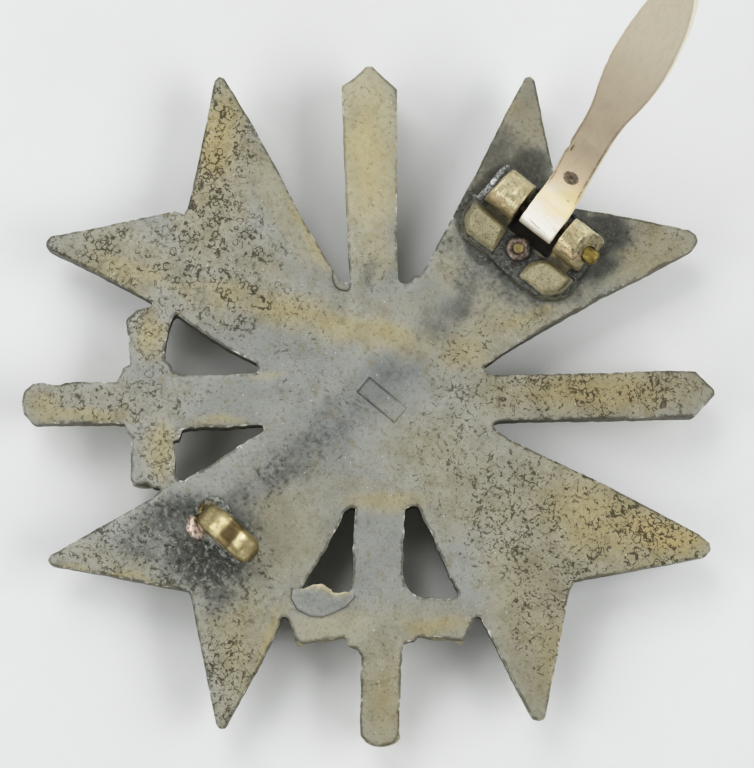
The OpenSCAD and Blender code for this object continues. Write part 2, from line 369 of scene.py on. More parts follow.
# ------------------------------------------------------------------ node helpers
class Mat:
    """A small wrapper for building a procedural material."""

    def __init__(self, name):
        self.m = bpy.data.materials.new(name)
        self.m.use_nodes = True
        self.t = self.m.node_tree
        self.t.nodes.clear()
        self.out = self.t.nodes.new("ShaderNodeOutputMaterial")
        self.bsdf = self.t.nodes.new("ShaderNodeBsdfPrincipled")
        self.t.links.new(self.bsdf.outputs[0], self.out.inputs["Surface"])
        self._co = None

    def put(self, socket, value):
        if hasattr(value, "is_output"):
            self.t.links.new(value, socket)
        elif isinstance(value, (tuple, list)) and len(value) == 3 and socket.type == "RGBA":
            socket.default_value = (*value, 1)
        else:
            socket.default_value = value

    def co(self):
        if self._co is None:
            self._co = self.t.nodes.new("ShaderNodeTexCoord").outputs["Object"]
        return self._co

    def attr(self, name, part="Fac"):
        n = self.t.nodes.new("ShaderNodeAttribute")
        n.attribute_name = name
        return n.outputs[part]

    def split(self, color):
        n = self.t.nodes.new("ShaderNodeSeparateColor")
        self.t.links.new(color, n.inputs[0])
        return n.outputs[0], n.outputs[1], n.outputs[2]

    def math(self, op, a, b=0.0, clamp=False):
        n = self.t.nodes.new("ShaderNodeMath")
        n.operation = op
        n.use_clamp = clamp
        self.put(n.inputs[0], a)
        self.put(n.inputs[1], b)
        return n.outputs[0]

    def mul(self, a, b):
        return self.math("MULTIPLY", a, b)

    def add(self, a, b):
        return self.math("ADD", a, b)

    def noise(self, size_mm, detail=2.0, rough=0.5, offset=None, stretch=None, distortion=0.0):
        n = self.t.nodes.new("ShaderNodeTexNoise")
        n.inputs["Scale"].default_value = 1000.0 / size_mm
        n.inputs["Detail"].default_value = detail
        n.inputs["Roughness"].default_value = rough
        n.inputs["Distortion"].default_value = distortion
        src = self.co()
        if offset or stretch:
            mp = self.t.nodes.new("ShaderNodeMapping")
            if offset:
                mp.inputs["Location"].default_value = offset
            if stretch:
                mp.inputs["Rotation"].default_value = stretch[0]
                mp.inputs["Scale"].default_value = stretch[1]
            self.t.links.new(src, mp.inputs[0])
            src = mp.outputs[0]
        self.t.links.new(src, n.inputs["Vector"])
        return n.outputs[0]

    def warped(self, size_mm, amount_mm, detail=1.5):
        """The object's coordinates pushed about by a noise."""
        n = self.t.nodes.new("ShaderNodeTexNoise")
        n.inputs["Scale"].default_value = 1000.0 / size_mm
        n.inputs["Detail"].default_value = detail
        self.t.links.new(self.co(), n.inputs["Vector"])
        sub = self.t.nodes.new("ShaderNodeVectorMath")
        sub.operation = "SUBTRACT"
        self.t.links.new(n.outputs["Color"], sub.inputs[0])
        sub.inputs[1].default_value = (0.5, 0.5, 0.5)
        sc = self.t.nodes.new("ShaderNodeVectorMath")
        sc.operation = "SCALE"
        self.t.links.new(sub.outputs[0], sc.inputs[0])
        sc.inputs["Scale"].default_value = amount_mm * 2 * MM
        ad = self.t.nodes.new("ShaderNodeVectorMath")
        ad.operation = "ADD"
        self.t.links.new(sc.outputs[0], ad.inputs[0])
        self.t.links.new(self.co(), ad.inputs[1])
        return ad.outputs[0]

    def voronoi(self, size_mm, feature="F1", randomness=1.0, vector=None):
        n = self.t.nodes.new("ShaderNodeTexVoronoi")
        n.feature = feature
        n.inputs["Scale"].default_value = 1000.0 / size_mm
        n.inputs["Randomness"].default_value = randomness
        self.t.links.new(vector or self.co(), n.inputs["Vector"])
        return n.outputs["Distance"]

    def step(self, x, a, b, lo=0.0, hi=1.0):
        """Smooth step of x from a to b, out from lo to hi."""
        n = self.t.nodes.new("ShaderNodeMapRange")
        n.interpolation_type = "SMOOTHSTEP"
        n.clamp = True
        self.put(n.inputs["Value"], x)
        n.inputs["From Min"].default_value = a
        n.inputs["From Max"].default_value = b
        n.inputs["To Min"].default_value = lo
        n.inputs["To Max"].default_value = hi
        return n.outputs[0]

    def mix(self, fac, a, b, kind="MIX"):
        n = self.t.nodes.new("ShaderNodeMix")
        n.data_type = "RGBA"
        n.blend_type = kind
        n.clamp_factor = True
        self.put(n.inputs[0], fac)
        self.put(n.inputs[6], a)
        self.put(n.inputs[7], b)
        return n.outputs[2]

    def bump(self, height, strength=0.5, mm=0.05, normal=None):
        n = self.t.nodes.new("ShaderNodeBump")
        n.inputs["Strength"].default_value = strength
        n.inputs["Distance"].default_value = mm * MM
        self.t.links.new(height, n.inputs["Height"])
        if normal is not None:
            self.t.links.new(normal, n.inputs["Normal"])
        return n.outputs[0]

    def finish(self, **kw):
        for k, v in kw.items():
            self.put(self.bsdf.inputs[k.replace("_", " ")], v)
        return self.m


def lin(r, g, b):
    """sRGB 0..255 to linear."""
    return tuple((c / 255 / 12.92) if c / 255 <= 0.04045 else ((c / 255 + 0.055) / 1.055) ** 2.4 for c in (r, g, b))


# ------------------------------------------------------------------ floor
bpy.ops.mesh.primitive_plane_add(size=1.6, location=(0, 0, 0))
floor = bpy.context.object
floor.name = "floor"
fm = Mat("floor_paper")
f_soft = fm.noise(30, 3, 0.5)
f_fine = fm.noise(2.0, 4, 0.6)
f_spk = fm.voronoi(7.0)
f_spk_on = fm.noise(9.0, 1, 0.5, offset=(3, 1, 0))
f_speck = fm.mul(fm.step(f_spk, 0.035, 0.012), fm.step(f_spk_on, 0.52, 0.60))
f_col = fm.mix(fm.step(f_soft, 0.35, 0.70), lin(236, 238, 238), lin(231, 233, 232))
f_col = fm.mix(fm.step(f_fine, 0.55, 0.80, 0, 0.5), f_col, lin(227, 229, 227))
f_col = fm.mix(fm.mul(f_speck, 0.45), f_col, lin(120, 120, 116))
floor.data.materials.append(fm.finish(Base_Color=f_col, Roughness=fm.step(f_fine, 0.3, 0.7, 0.42, 0.62),
                                      Normal=fm.bump(f_fine, 0.25, 0.03)))

# ------------------------------------------------------------------ outline of the cross
# Corners in each arm's or sword's own frame: [distance from the centre, sideways, fillet radius], mm.
ARM_0 = [(19.65, -7.34, 2), (22.7, -8.42, 2), (24.65, -9.0, .35), (25.2, -8.65, .3), (25.1, -8.2, .3), (20.05, -.4, .3),
         (19.85, .35, .2), (20.2, .9, .3), (25.45, 8.3, .4), (25.45, 8.95, .35), (25.0, 9.32, .4), (24.0, 9.2, 1),
         (20.1, 8.1, 2), (16.1, 6.93, 2), (12.3, 5.6, 2), (9.2, 4.58, .5)]
BLADE_45 = [(8.66, -2.45, .15), (8.58, -2.08, .15), (8.95, -1.88, .2), (13.5, -1.80, 1), (18.0, -1.83, 1), (23.4, -1.72, .15),
            (24.95, -.15, .2), (24.88, .22, .2), (23.55, 1.62, .15), (20.2, 1.67, 1), (16.5, 1.57, 1), (9.1, 1.53, .3),
            (8.35, 1.6, .2), (8.0, 1.85, .15), (7.95, 2.2, .15)]
ARM_90 = [(10.2, -4.73, 1), (13.6, -5.70, 2), (16.9, -6.64, 2), (20.8, -8.0, 2), (24.35, -9.1, .4), (24.95, -8.95, .3), (25.22, -8.5, .3),
          (25.1, -7.85, .3), (21.9, -2.8, 2), (19.85, 0, .25), (22.4, 4.0, 2), (25.3, 8.1, .25), (25.32, 8.62, .2), (24.95, 8.8, .2),
          (21.9, 7.9, 2), (17.9, 6.6, 2), (11.7, 4.81, 2), (9.65, 4.17, .2)]
BLADE_135 = [(9.07, -3.32, .15), (8.98, -2.9, .15), (8.62, -2.66, .15), (8.4, -2.35, .2), (8.48, -1.95, .2), (8.8, -1.70, .2),
             (12.5, -1.70, 1), (18.5, -1.80, 2), (23.1, -1.88, .15), (23.9, -1.0, .5), (24.9, -.05, .2), (24.85, .38, .2), (24.05, 1.25, .5),
             (23.45, 2.22, .12), (18.5, 2.13, 2), (13.3, 1.99, 2), (8.78, 1.84, .12), (8.58, 2.05, .12), (8.58, 2.35, .12),
             (8.75, 2.55, .15), (9.1, 2.82, .2)]
ARM_180 = [(13.5, -5.82, 3), (16.3, -6.83, 3), (21.2, -8.36, 3), (24.8, -9.27, .3), (25.2, -9.1, .25), (25.2, -8.65, .3), (23.5, -6.13, 2),
           (20.6, -1.6, 1), (19.85, -.3, .15), (19.75, .15, .12), (20.38, .42, .15), (22.9, 4.2, 2), (24.8, 7.0, 1), (25.62, 8.15, .4),
           (25.6, 8.7, .3), (25.3, 9.0, .3), (24.9, 8.92, .4), (22.25, 8.0, 2), (19.4, 7.2, 2), (16.75, 6.42, .15)]
GUARD_225 = [(16.6, -6.95, .25), (17.65, -6.68, .3), (18.25, -6.2, .25), (18.32, -5.8, .3), (18.18, -3.77, 1), (18.1, -2.65, .12),
             (18.62, -2.45, .12), (18.85, -1.92, .15), (19.1, -1.42, .15), (22.1, -1.44, 1), (23.8, -1.34, .6), (25.3, -1.42, .4),
             (25.9, -.85, .5), (26.07, 0, .6), (25.93, .85, .5), (25.3, 1.62, .4), (22.2, 1.6, 1), (19.3, 1.64, .2), (18.55, 1.72, .12),
             (18.3, 2.32, .12), (17.93, 2.65, .12), (18.08, 4.0, 1), (18.12, 5.9, .15), (17.9, 6.18, .12), (16.9, 6.2, .12),
             (16.5, 6.45, .12), (16.0, 6.5, .12), (16.0, 6.7, .12)]
ARM_270 = [(16.95, -6.65, .2), (20.98, -7.85, 2), (24.3, -8.80, .3), (25.0, -9.02, .25), (25.4, -8.88, .25), (25.48, -8.45, .25),
           (23.4, -5.4, 2), (19.87, .05, .2), (20.0, .5, .2), (21.4, 2.5, 2), (24.55, 7.15, 2), (25.35, 8.3, .3), (25.42, 8.68, .25),
           (25.1, 8.97, .25), (24.8, 8.93, .3), (22.2, 8.19, 2), (19.8, 7.55, 2), (16.9, 6.6, .2)]
GUARD_315 = [(16.3, -7.3, .2), (16.0, -6.95, .2), (16.3, -6.65, .2), (17.03, -6.44, .3), (17.6, -6.28, .2), (17.95, -5.92, .2),
             (17.98, -5.5, .2), (17.74, -3.31, 1), (17.58, -2.6, .12), (18.2, -2.37, .12), (18.5, -1.66, .15), (18.95, -1.42, .2),
             (21.5, -1.47, 2), (23.6, -1.58, 1), (24.8, -1.52, .4), (25.3, -1.1, .4), (25.56, -.5, .5), (25.55, .3, .5), (25.3, 1.0, .4),
             (24.7, 1.25, .4), (22.2, 1.36, 2), (20.0, 1.48, 2), (18.75, 1.56, .2), (18.1, 1.64, .12), (17.98, 2.52, .12),
             (17.6, 2.75, .12), (17.78, 4.35, 2), (18.02, 6.0, .2), (17.55, 6.35, .2), (16.55, 6.76, .25), (16.28, 7.01, .2),
             (16.36, 7.3, .2)]
HOLE_LU = [(14.72, -6.38, .15), (12.94, -5.11, 2), (10.75, -3.66, 2), (8.8, -2.64, .15), (8.68, -2.02, .15), (10.0, -1.91, 1),
           (12.97, -1.84, 1), (14.5, -1.90, .2), (14.95, -2.15, .12), (15.12, -2.5, .12), (15.58, -3.1, .2), (15.6, -3.6, .3),
           (15.3, -5.22, 1), (14.93, -6.2, .15)]
HOLE_LL = [(14.35, 2.2, .12), (13.0, 2.08, 1), (10.8, 2.05, 1), (8.9, 1.93, .15), (8.42, 1.97, .12), (8.38, 2.35, .12), (8.7, 2.6, .2),
           (10.1, 3.4, 1), (11.2, 4.12, 1), (13.0, 5.2, 1), (14.2, 5.9, .15), (14.65, 5.88, .15), (14.82, 5.45, .15), (14.86, 4.4, .5),
           (15.0, 3.35, .12), (15.05, 3.05, .12), (14.62, 2.95, .12), (14.45, 2.55, .12)]
HOLE_BL = [(8.08, -2.0, .12), (8.45, -2.47, .2), (9.2, -2.82, 1), (11.2, -3.95, 2), (13.0, -5.07, 1), (14.2, -5.85, .2), (14.65, -5.7, .2),
           (14.88, -5.0, .2), (14.85, -3.6, .5), (14.75, -2.8, .15), (14.4, -2.4, .15), (14.1, -2.02, .2), (11.25, -1.9, 1),
           (9.0, -1.8, .5), (8.2, -1.70, .12)]
HOLE_BR = [(8.07, 2.4, .15), (8.15, 2.85, .15), (8.6, 3.05, .2), (10.0, 3.76, 1), (11.7, 4.46, 1), (13.4, 5.16, 1), (14.3, 5.66, .2),
           (14.65, 5.7, .12), (14.88, 4.99, .3), (14.85, 4.04, .3), (14.76, 2.8, .25), (14.4, 2.42, .2), (13.9, 1.95, .25),
           (13.1, 1.73, .4), (11.3, 1.83, 1), (9.8, 1.85, 1), (8.73, 1.87, .3), (8.28, 2.0, .15)]
# Where the casting's edge is ragged: [element, from, to along it, side, how far], mm.
RAGGED = [("GUARD_225", 19.2, 25.6, -1, .10), ("GUARD_225", 15.5, 19.0, 0, .075), ("GUARD_315", 15.5, 19.0, 0, .065),
          ("HOLE_LL", 8.0, 15.2, 0, .065), ("HOLE_BL", 8.0, 14.0, 0, .07), ("HOLE_BR", 8.0, 15.0, 0, .065),
          ("HOLE_LU", 8.0, 16.0, 0, .05), ("BLADE_45", 9.0, 23.5, 1, .04), ("BLADE_45", 9.0, 23.5, -1, .04)]


def fillet_loop(rows, step):
    """Corner rows (x, y, r, amp) -> rounded, evenly spaced closed loop with its ragged amplitude."""
    n = len(rows)
    P = np.array([[r[0], r[1]] for r in rows])
    out, amp = [], []
    cuts = []
    for k in range(n):
        a, b, c = P[k - 1], P[k], P[(k + 1) % n]
        u, v = a - b, c - b
        lu, lv = np.hypot(*u), np.hypot(*v)
        u, v = u / lu, v / lv
        cosw = float(np.clip(u @ v, -1, 1))
        half = 0.5 * math.acos(cosw)
        t = rows[k][2] / math.tan(half) if half < 1.57 else 0.0
        t = min(t, 0.48 * lu, 0.48 * lv)
        r = t * math.tan(half)
        cuts.append((b + u * t, b + v * t, b, half, r, u, v))
    for k in range(n):
        s, e_, b, half, r, u, v = cuts[k]
        sweep = math.pi - 2 * half
        if r > 1e-4 and sweep > 0.05:
            cdir = (u + v) / np.hypot(*(u + v))
            c = b + cdir * r / math.sin(half)
            m = max(2, int(math.ceil(sweep / math.radians(24))))
            a0 = math.atan2(s[1] - c[1], s[0] - c[0])
            a1 = math.atan2(e_[1] - c[1], e_[0] - c[0])
            d = (a1 - a0 + math.pi) % (2 * math.pi) - math.pi
            arc = [c + r * np.array([math.cos(a0 + d * i / m), math.sin(a0 + d * i / m)]) for i in range(m + 1)]
        else:
            arc = [b]
        for q in arc:
            out.append(q)
            amp.append(rows[k][3])
        nxt = cuts[(k + 1) % n][0] if cuts[(k + 1) % n][4] > 1e-4 else cuts[(k + 1) % n][2]
        seg = nxt - arc[-1]
        ln = float(np.hypot(*seg))
        m = int(ln // step)
        for i in range(1, m + 1):
            out.append(arc[-1] + seg * i / (m + 1))
            amp.append(0.5 * (rows[k][3] + rows[(k + 1) % n][3]))
    out, amp = np.array(out), np.array(amp)
    d = np.hypot(*(out - np.roll(out, 1, 0)).T)
    keep = d > 0.03
    return out[keep], amp[keep]


def element(name, deg, rows):
    res = []
    for r, l, f in rows:
        amp = 0.026
        for el_name, r0, r1, side, a in RAGGED:
            if el_name == name and r0 <= r <= r1 and (side == 0 or side * l > 0):
                amp = a
        x, y = turn2((r, l), deg)
        res.append((x, y, f, amp))
    return res


outer_rows = (element("ARM_0", 0, ARM_0) + element("BLADE_45", 45, BLADE_45) + element("ARM_90", 90, ARM_90)
              + element("BLADE_135", 135, BLADE_135) + element("ARM_180", 180, ARM_180) + element("GUARD_225", 225, GUARD_225)
              + element("ARM_270", 270, ARM_270) + element("GUARD_315", 315, GUARD_315))
loops, amps = [], []
for rows in (outer_rows, element("HOLE_LU", 225, HOLE_LU), element("HOLE_LL", 225, HOLE_LL),
             element("HOLE_BL", 315, HOLE_BL), element("HOLE_BR", 315, HOLE_BR)):
    L, a = fillet_loop(rows, 0.20)
    area = 0.5 * np.sum(L[:, 0] * np.roll(L[:, 1], -1) - np.roll(L[:, 0], -1) * L[:, 1])
    want = 1 if not loops else -1
    if area * want < 0:
        L, a = L[::-1], a[::-1]
    loops.append(L)
    amps.append(a)


def inward(L):
    """Unit normals that point into the metal (left of the direction of travel)."""
    t = np.roll(L, -1, 0) - np.roll(L, 1, 0)
    t /= np.maximum(np.hypot(*t.T), 1e-9)[:, None]
    return np.stack([-t[:, 1], t[:, 0]], 1)


for k, L in enumerate(loops):
    N = inward(L)
    w = (noise2(L[:, 0], L[:, 1], 1.3, 11 + k) * 0.6 + noise2(L[:, 0], L[:, 1], 0.42, 51 + k) * 1.0) * amps[k]
    loops[k] = L + N * w[:, None]

# ------------------------------------------------------------------ surface of the back
# Stains, tan remains of the gilding, corrosion, and patches of painted sheen and shade, charted as soft ovals, in mm as
# the camera sees the cross
# from its centre: [right, up, half length, half height, turn, strength].
TAN = [(-8.7, -19.4, 3.9, .8, 57, 1.0), (-10.0, -17.2, 2.6, .7, 0, .6), (17.6, -9.4, 7.0, 3.8, -25, 1.05), (22.6, -10.7, 2.8, 1.6, -15, 1.2), (-11.3, 19.5, 2.4, 5.0, -15, 1.18), (-12.2, 15.5, 2.6, 3.0, 0, .70), (-4.9, 12.5, .7, 4.6, 29, 1.0), (-18.1, 9.8, 4.8, 1.2, -24, .9), (-11.5, 8.0, 4.4, 1.5, -8, .95),
       (-6.2, 6.4, 5.6, 1.6, -13, 1.0), (-2.6, 5.4, 4.2, 1.5, -14, 1.0), (1.2, 4.5, 4.6, 1.6, -12, 1.0), (6.4, 3.3, 2.6, 2.0, 5, .85), (12.0, 6.3, 4.8, .9, 28, 1.1),
       (5.8, 9.6, 1.6, 2.6, 0, .6), (10.7, 21.5, 1.3, 2.6, 0, .7), (20.6, 11.4, 3.4, 1.0, -10, .7), (-.4, 18.3, 2.6, 7.6, 0, 1.1),
       (-.2, 10.8, 2.2, 2.6, 0, .75), (16.4, .2, 9.6, 2.3, 0, 1.1), (9.2, .2, 3.0, 2.4, 0, .7), (16.4, -9.6, 8.0, 4.4, -25, 1.08), (20.6, -10.4, 4.6, 2.2, -20, 1.40),
       (12.4, -18.7, 3.0, 6.4, 15, .9), (9.5, -8.6, 3.2, 3.6, 0, .6), (3.9, -3.9, 4.2, 3.2, 0, .5), (.6, -7.6, 4.2, .9, -5, .85), (.25, -22.4, 2.0, 4.4, 0, .85),
       (3.9, -16.9, 3.2, 1.0, 0, .95), (-20.0, 9.2, 4.0, .8, -26, 1.0), (-3.6, -17.1, 3.2, 1.0, 4, .5), (-16.7, 4.9, 1.3, 2.2, 0, 1.0), (-15.9, -3.7, 1.4, 2.4, 0, .9),
       (-24.2, -.4, 1.8, 1.6, 0, .85), (-21.6, -1.1, 4.4, .8, -4, .95), (-11.5, -1.7, 2.2, .45, 3, .8), (-19.6, -12.9, 5.2, .42, -9, .95), (-10.4, -18.0, 2.0, 5.2, 0, .8),
       (-8.3, -18.0, .7, 3.6, -28, 1.0), (-8.2, -12.0, 2.2, 3.0, 0, .5), (-7.9, 1.7, 1.6, .3, -5, .7), (-1.8, -6.2, 4.0, .6, -4, .35),
       (-11.4, -20.6, 1.2, 2.8, 10, .6), (-8.3, 9.6, 2.0, 1.0, -20, .5)]
BROAD = [(-7.6, 15.8, 1.5, 8.0, 29, .55), (-11.5, 16.5, 3.2, 9.0, -12, .58), (-18.0, 10.5, 6.5, 2.6, -20, .48), (-10.5, 9.0, 5.0, 4.0, 0, .40), (9.5, 16.0, 4.5, 9.0, -22, .60),
         (18.5, 11.0, 7.5, 3.2, -12, .78), (10.5, 7.0, 6.5, 3.2, 25, .72), (16.0, -9.5, 9.0, 5.8, -25, .72), (11.5, -16.5, 3.8, 9.0, 12, .70),
         (6.5, -6.5, 5.0, 4.0, 0, .48), (4.5, -4.0, 4.0, 3.4, 0, .45), (-10.2, -17.5, 3.2, 8.5, 5, .64), (-7.0, -10.0, 4.0, 4.6, 0, .48),
         (0, -17.3, 8.5, 2.4, 0, .42), (.3, -22.0, 2.6, 6.0, 0, .66), (-20.5, -.3, 7.0, 2.4, 0, .30), (-19.0, -12.0, 5.5, 1.3, -10, .35),
         (0, 6.0, 9.0, 2.6, -5, .28), (8.5, .5, 4.0, 4.0, 0, .35), (-5.5, -7.0, 4.0, 3.0, 0, .25)]
DARK = [(11.4, 17.2, 2.4, 1.9, 0, 1.0), (9.2, 18.2, 1.6, 2.2, -28, .70), (17.4, 12.3, 2.6, 1.4, -12, .90), (16.6, 9.6, 2.2, 1.1, 28, .85),
        (-1.7, -.9, 2.2, 1.2, 45, .30), (-3.6, -2.5, 2.6, 1.5, 45, .34), (-6.2, -4.8, 2.8, 1.6, 42, .50), (1.9, 2.5, 2.2, 1.3, 45, .34), (4.0, 4.6, 2.2, 1.3, 45, .34), (6.2, 6.8, 2.4, 1.4, 45, .52), (7.0, 8.3, 1.8, 1.8, 0, .6), (-12.6, -11.9, 3.6, 2.5, -10, 1.05), (-14.5, -8.4, 3.2, 1.6, 20, .75),
        (-10.0, -7.3, 2.0, 1.3, 10, .55), (-7.8, -6.1, 1.7, 1.0, 45, .55), (-11.8, -14.1, 2.0, 1.6, 0, .7), (-16.9, -10.4, 3.0, 1.8, 0, .5),
        (-12.6, 7.8, .9, .9, 0, .4), (-.5, 9.3, .8, 1.6, 0, .4), (1.8, 8.9, .8, .8, 0, .3), (-2.6, 6.6, .6, 1.2, 20, .2),
        (9.0, 8.9, 4.8, 1.7, -39, .62), (6.4, 12.0, 1.6, 3.0, -28, .45), (-12.6, -19.6, 1.6, 3.6, 8, .16), (4.4, 6.0, 2.6, 1.4, 40, .25), (-3.2, -.3, .9, .8, 30, .22), (7.7, 6.7, 1.4, 1.2, 20, .35)]
CORR = [(-11.9, 17.6, 3.0, 7.4, -12, 1.0), (-12.3, 11.6, 5.2, 3.6, 0, .85), (-18.9, 10.9, 5.6, 2.0, -15, .8), (-10.8, 7.0, 4.6, 2.2, 0, .8),
        (-16.6, 4.9, 1.8, 2.6, 0, .8), (-18.9, -.2, 6.5, 1.8, 0, .6), (-16.0, -4.0, 1.7, 2.8, 0, .7), (13.5, -9.8, 8.8, 6.0, -25, .70), (20.4, -10.2, 5.6, 3.2, -18, .88),
        (5.6, -4.6, 4.6, 4.0, 0, .38), (12.0, -16.5, 2.7, 5.4, 12, .68), (15.2, .2, 9.6, 2.3, 0, .75), (6.4, 1.3, 2.6, 3.6, 0, .50), (8.4, 4.9, 3.0, 1.4, 30, .40),
        (20.2, 11.4, 4.5, 1.6, -15, .22), (-18.3, -10.9, 6.0, 1.9, 0, .65), (-14.6, -12.0, 2.8, 2.6, 0, .6), (-11.0, -20.4, 2.2, 4.6, 8, .82),
        (-.4, 20.0, 2.6, 4.0, 0, .3), (-.2, 11.0, 2.4, 4.0, 0, .2), (-5.0, -2.0, 5.0, 5.0, 0, .2), (.2, -21.0, 2.0, 5.0, 0, .2),
        (-6.0, 6.0, 5.0, 3.0, 0, .25), (12.0, 6.6, 5.0, 1.6, 28, .3), (10.6, 20.0, 2.0, 4.0, 0, .14)]
# painted sheen (positive strength) and painted shade (negative strength), added together
SHEEN_AND_SHADE = [(-.4, 18.6, 2.8, 7.0, 0, .55), (16.4, .2, 9.8, 2.6, 0, -.46), (17.0, -9.8, 8.0, 5.5, -25, -.14), (12.4, -18.6, 3.2, 7.0, 12, -.42),
         (9.5, 19.0, 3.4, 6.0, -15, -.80), (20.6, 11.6, 4.4, 2.4, -12, -.42), (-3.4, -17.0, 3.4, 1.4, 0, .35), (3.9, -17.0, 3.2, 1.2, 0, .1), (1.7, 4.5, 5.0, 1.2, -8, .22),
         (.3, -22.0, 2.2, 5.0, 0, -.26), (-16.2, 5.0, 1.5, 2.2, 0, .2), (-15.9, -3.6, 1.5, 2.4, 0, .35), (-10.8, -20.0, 2.4, 5.0, 0, -.04), (5.0, 9.0, 2.6, 2.6, 0, .1)]


NET = [(-11.9, 17.6, 3.0, 7.6, -12, 1.0), (-11.6, 11.0, 5.4, 4.4, 0, .9), (-18.9, 10.9, 5.6, 2.2, -15, .8), (-10.0, 7.4, 5.0, 2.4, -10, .8), (-16.6, 4.9, 1.8, 2.6, 0, .6),
       (-16.5, -.2, 2.6, 3.6, 0, .7)]
CRUST = [(9.3, 8.3, 4.6, 1.5, -39, .42), (-12.0, -12.4, 4.4, 3.8, -10, 1.1), (-15.6, -9.0, 3.6, 2.2, 20, .8), (-8.2, -6.4, 3.2, 1.8, 45, .48), (-4.0, -3.4, 3.0, 1.6, 45, .36), (6.0, 14.0, 2.0, 5.0, -28, .55),
         (7.0, 8.6, 3.0, 1.4, -38, .40), (-9.6, -15.5, 1.6, 2.2, 0, .35)]
BLUE = [(1.2, 1.9, 5.0, 1.9, 45, .85), (-3.2, -2.1, 4.4, 2.1, 45, .72), (5.4, 5.9, 3.4, 1.5, 45, .9), (-6.6, -5.2, 3.4, 1.9, 42, .6), (-4.2, -15.1, 2.0, .9, 0, .5), (-8.0, 4.0, 5.0, 1.4, -12, .25), (-1.0, 9.0, 4.0, 1.8, -12, .22),
        (-6.5, 2.5, 4.0, 2.4, 0, .20), (12.0, 13.6, 3.4, 2.6, 0, .8), (-13.5, -9.0, 3.4, 2.0, 0, .5), (-1.6, -11.5, 2.2, 4.4, 0, .30)]


def ovals(table, sx, sy, soft=0.55):
    out = np.zeros(np.shape(sx))
    for cx, cy, rx, ry, deg, s in table:
        a = math.radians(deg)
        u = ((sx - cx) * math.cos(a) + (sy - cy) * math.sin(a)) / rx
        v = (-(sx - cx) * math.sin(a) + (sy - cy) * math.cos(a)) / ry
        d = np.sqrt(u * u + v * v)
        out = np.maximum(out, s * (1 - smooth(soft, 1.45, d))) if s > 0 and table is not SHEEN_AND_SHADE else out + s * (1 - smooth(soft, 1.35, d))
    return out


BASE_PTS = [(-4.35, 3.2), (4.1, 3.2), (4.55, 2.95), (4.75, 2.4), (4.74, -1.9), (4.2, -2.65), (2.9, -3.5), (-.1, -3.5), (-2.0, -3.25), (-3.7, -3.2), (-4.6, -2.6),
            (-5.05, -1.7), (-4.95, 2.3), (-4.75, 2.95)]


def to_block(x, y):
    q = turn2(np.stack([x - BLOCK_AT[0], y - BLOCK_AT[1]], -1), -BLOCK_TURN)
    return q[..., 0], q[..., 1]


def to_hook(x, y):
    q = turn2(np.stack([x - HOOK_AT[0], y - HOOK_AT[1]], -1), -HOOK_TURN)
    return q[..., 0], q[..., 1]


CART_AT, CART_TURN, CART_L, CART_W, CART_D = (0.42, 0.13), 4.5, 3.6, 1.45, 0.14
# The thin flash left over the bottom of one opening: its two edges in the frame of that sword.
FLASH_FREE = [(14.0, -5.9), (13.92, -5.25), (13.70, -4.7), (13.76, -4.0), (14.12, -3.64), (14.30, -3.5), (14.45, -3.25), (14.30, -2.55), (14.32, -1.9)]
FLASH_ROOT = [(14.7, -1.86), (15.4, -2.52), (15.92, -3.6), (16.12, -4.25), (16.04, -5.1), (15.55, -6.02), (14.72, -6.46), (14.1, -6.38)]
# The looped flaw beside the foot of one blade.
FLAW = [(9.42, 3.08), (9.0, 3.12), (8.55, 3.0), (8.25, 2.85), (8.03, 2.55), (7.95, 2.06), (8.12, 1.88), (8.42, 1.82)]


def line_dist(x, y, pts):
    d = np.full(np.shape(x), 1e9)
    for (ax, ay), (bx, by) in zip(pts[:-1], pts[1:]):
        ex, ey = bx - ax, by - ay
        t = np.clip(((x - ax) * ex + (y - ay) * ey) / (ex * ex + ey * ey), 0, 1)
        d = np.minimum(d, np.hypot(x - ax - ex * t, y - ay - ey * t))
    return d


flaw_xy = [tuple(turn2(p, 135)) for p in FLAW]
rng = np.random.RandomState(5)
pits = []
for _ in range(420):
    px, py = rng.uniform(-26, 26, 2)
    pits.append((px, py, rng.uniform(.09, .26), rng.uniform(.010, .032)))
pits = np.array(pits)
pit_tree = kdtree.KDTree(len(pits))
for i, p in enumerate(pits):
    pit_tree.insert((p[0], p[1], 0), i)
pit_tree.balance()


def cart_coords(x, y):
    q = turn2(np.stack([x - CART_AT[0], y - CART_AT[1]], -1), -CART_TURN)
    return q[..., 0], q[..., 1]


def back_height(x, y, edge_d):
    z = BACK + 0.022 * noise2(x, y, 7.0, 21) + 0.010 * noise2(x, y, 1.6, 22) + 0.005 * noise2(x, y, 0.5, 23)
    for i in range(len(x)):
        co, k, d = pit_tree.find((x[i], y[i], 0))
        r, dep = pits[k, 2], pits[k, 3]
        if d < r:
            z[i] -= dep * (1 - (d / r) ** 2)
    # bare sunk cartouche with a slightly raised lip
    cu, cv = cart_coords(x, y)
    d = np.maximum(np.abs(cu) - CART_L / 2, np.abs(cv) - CART_W / 2)
    z -= CART_D * (1 - smooth(-0.07, 0.06, d)) * (0.70 + 0.30 * smooth(1.6, -1.6, cu))
    z += 0.035 * np.exp(-((d - 0.08) / 0.08) ** 2)
    # looped flaw
    z -= 0.07 * np.exp(-(line_dist(x, y, flaw_xy) / 0.07) ** 2)
    # the metal drops a little towards worn edges
    z -= 0.03 * np.exp(-(edge_d / 0.30) ** 2)
    return z - 0.0


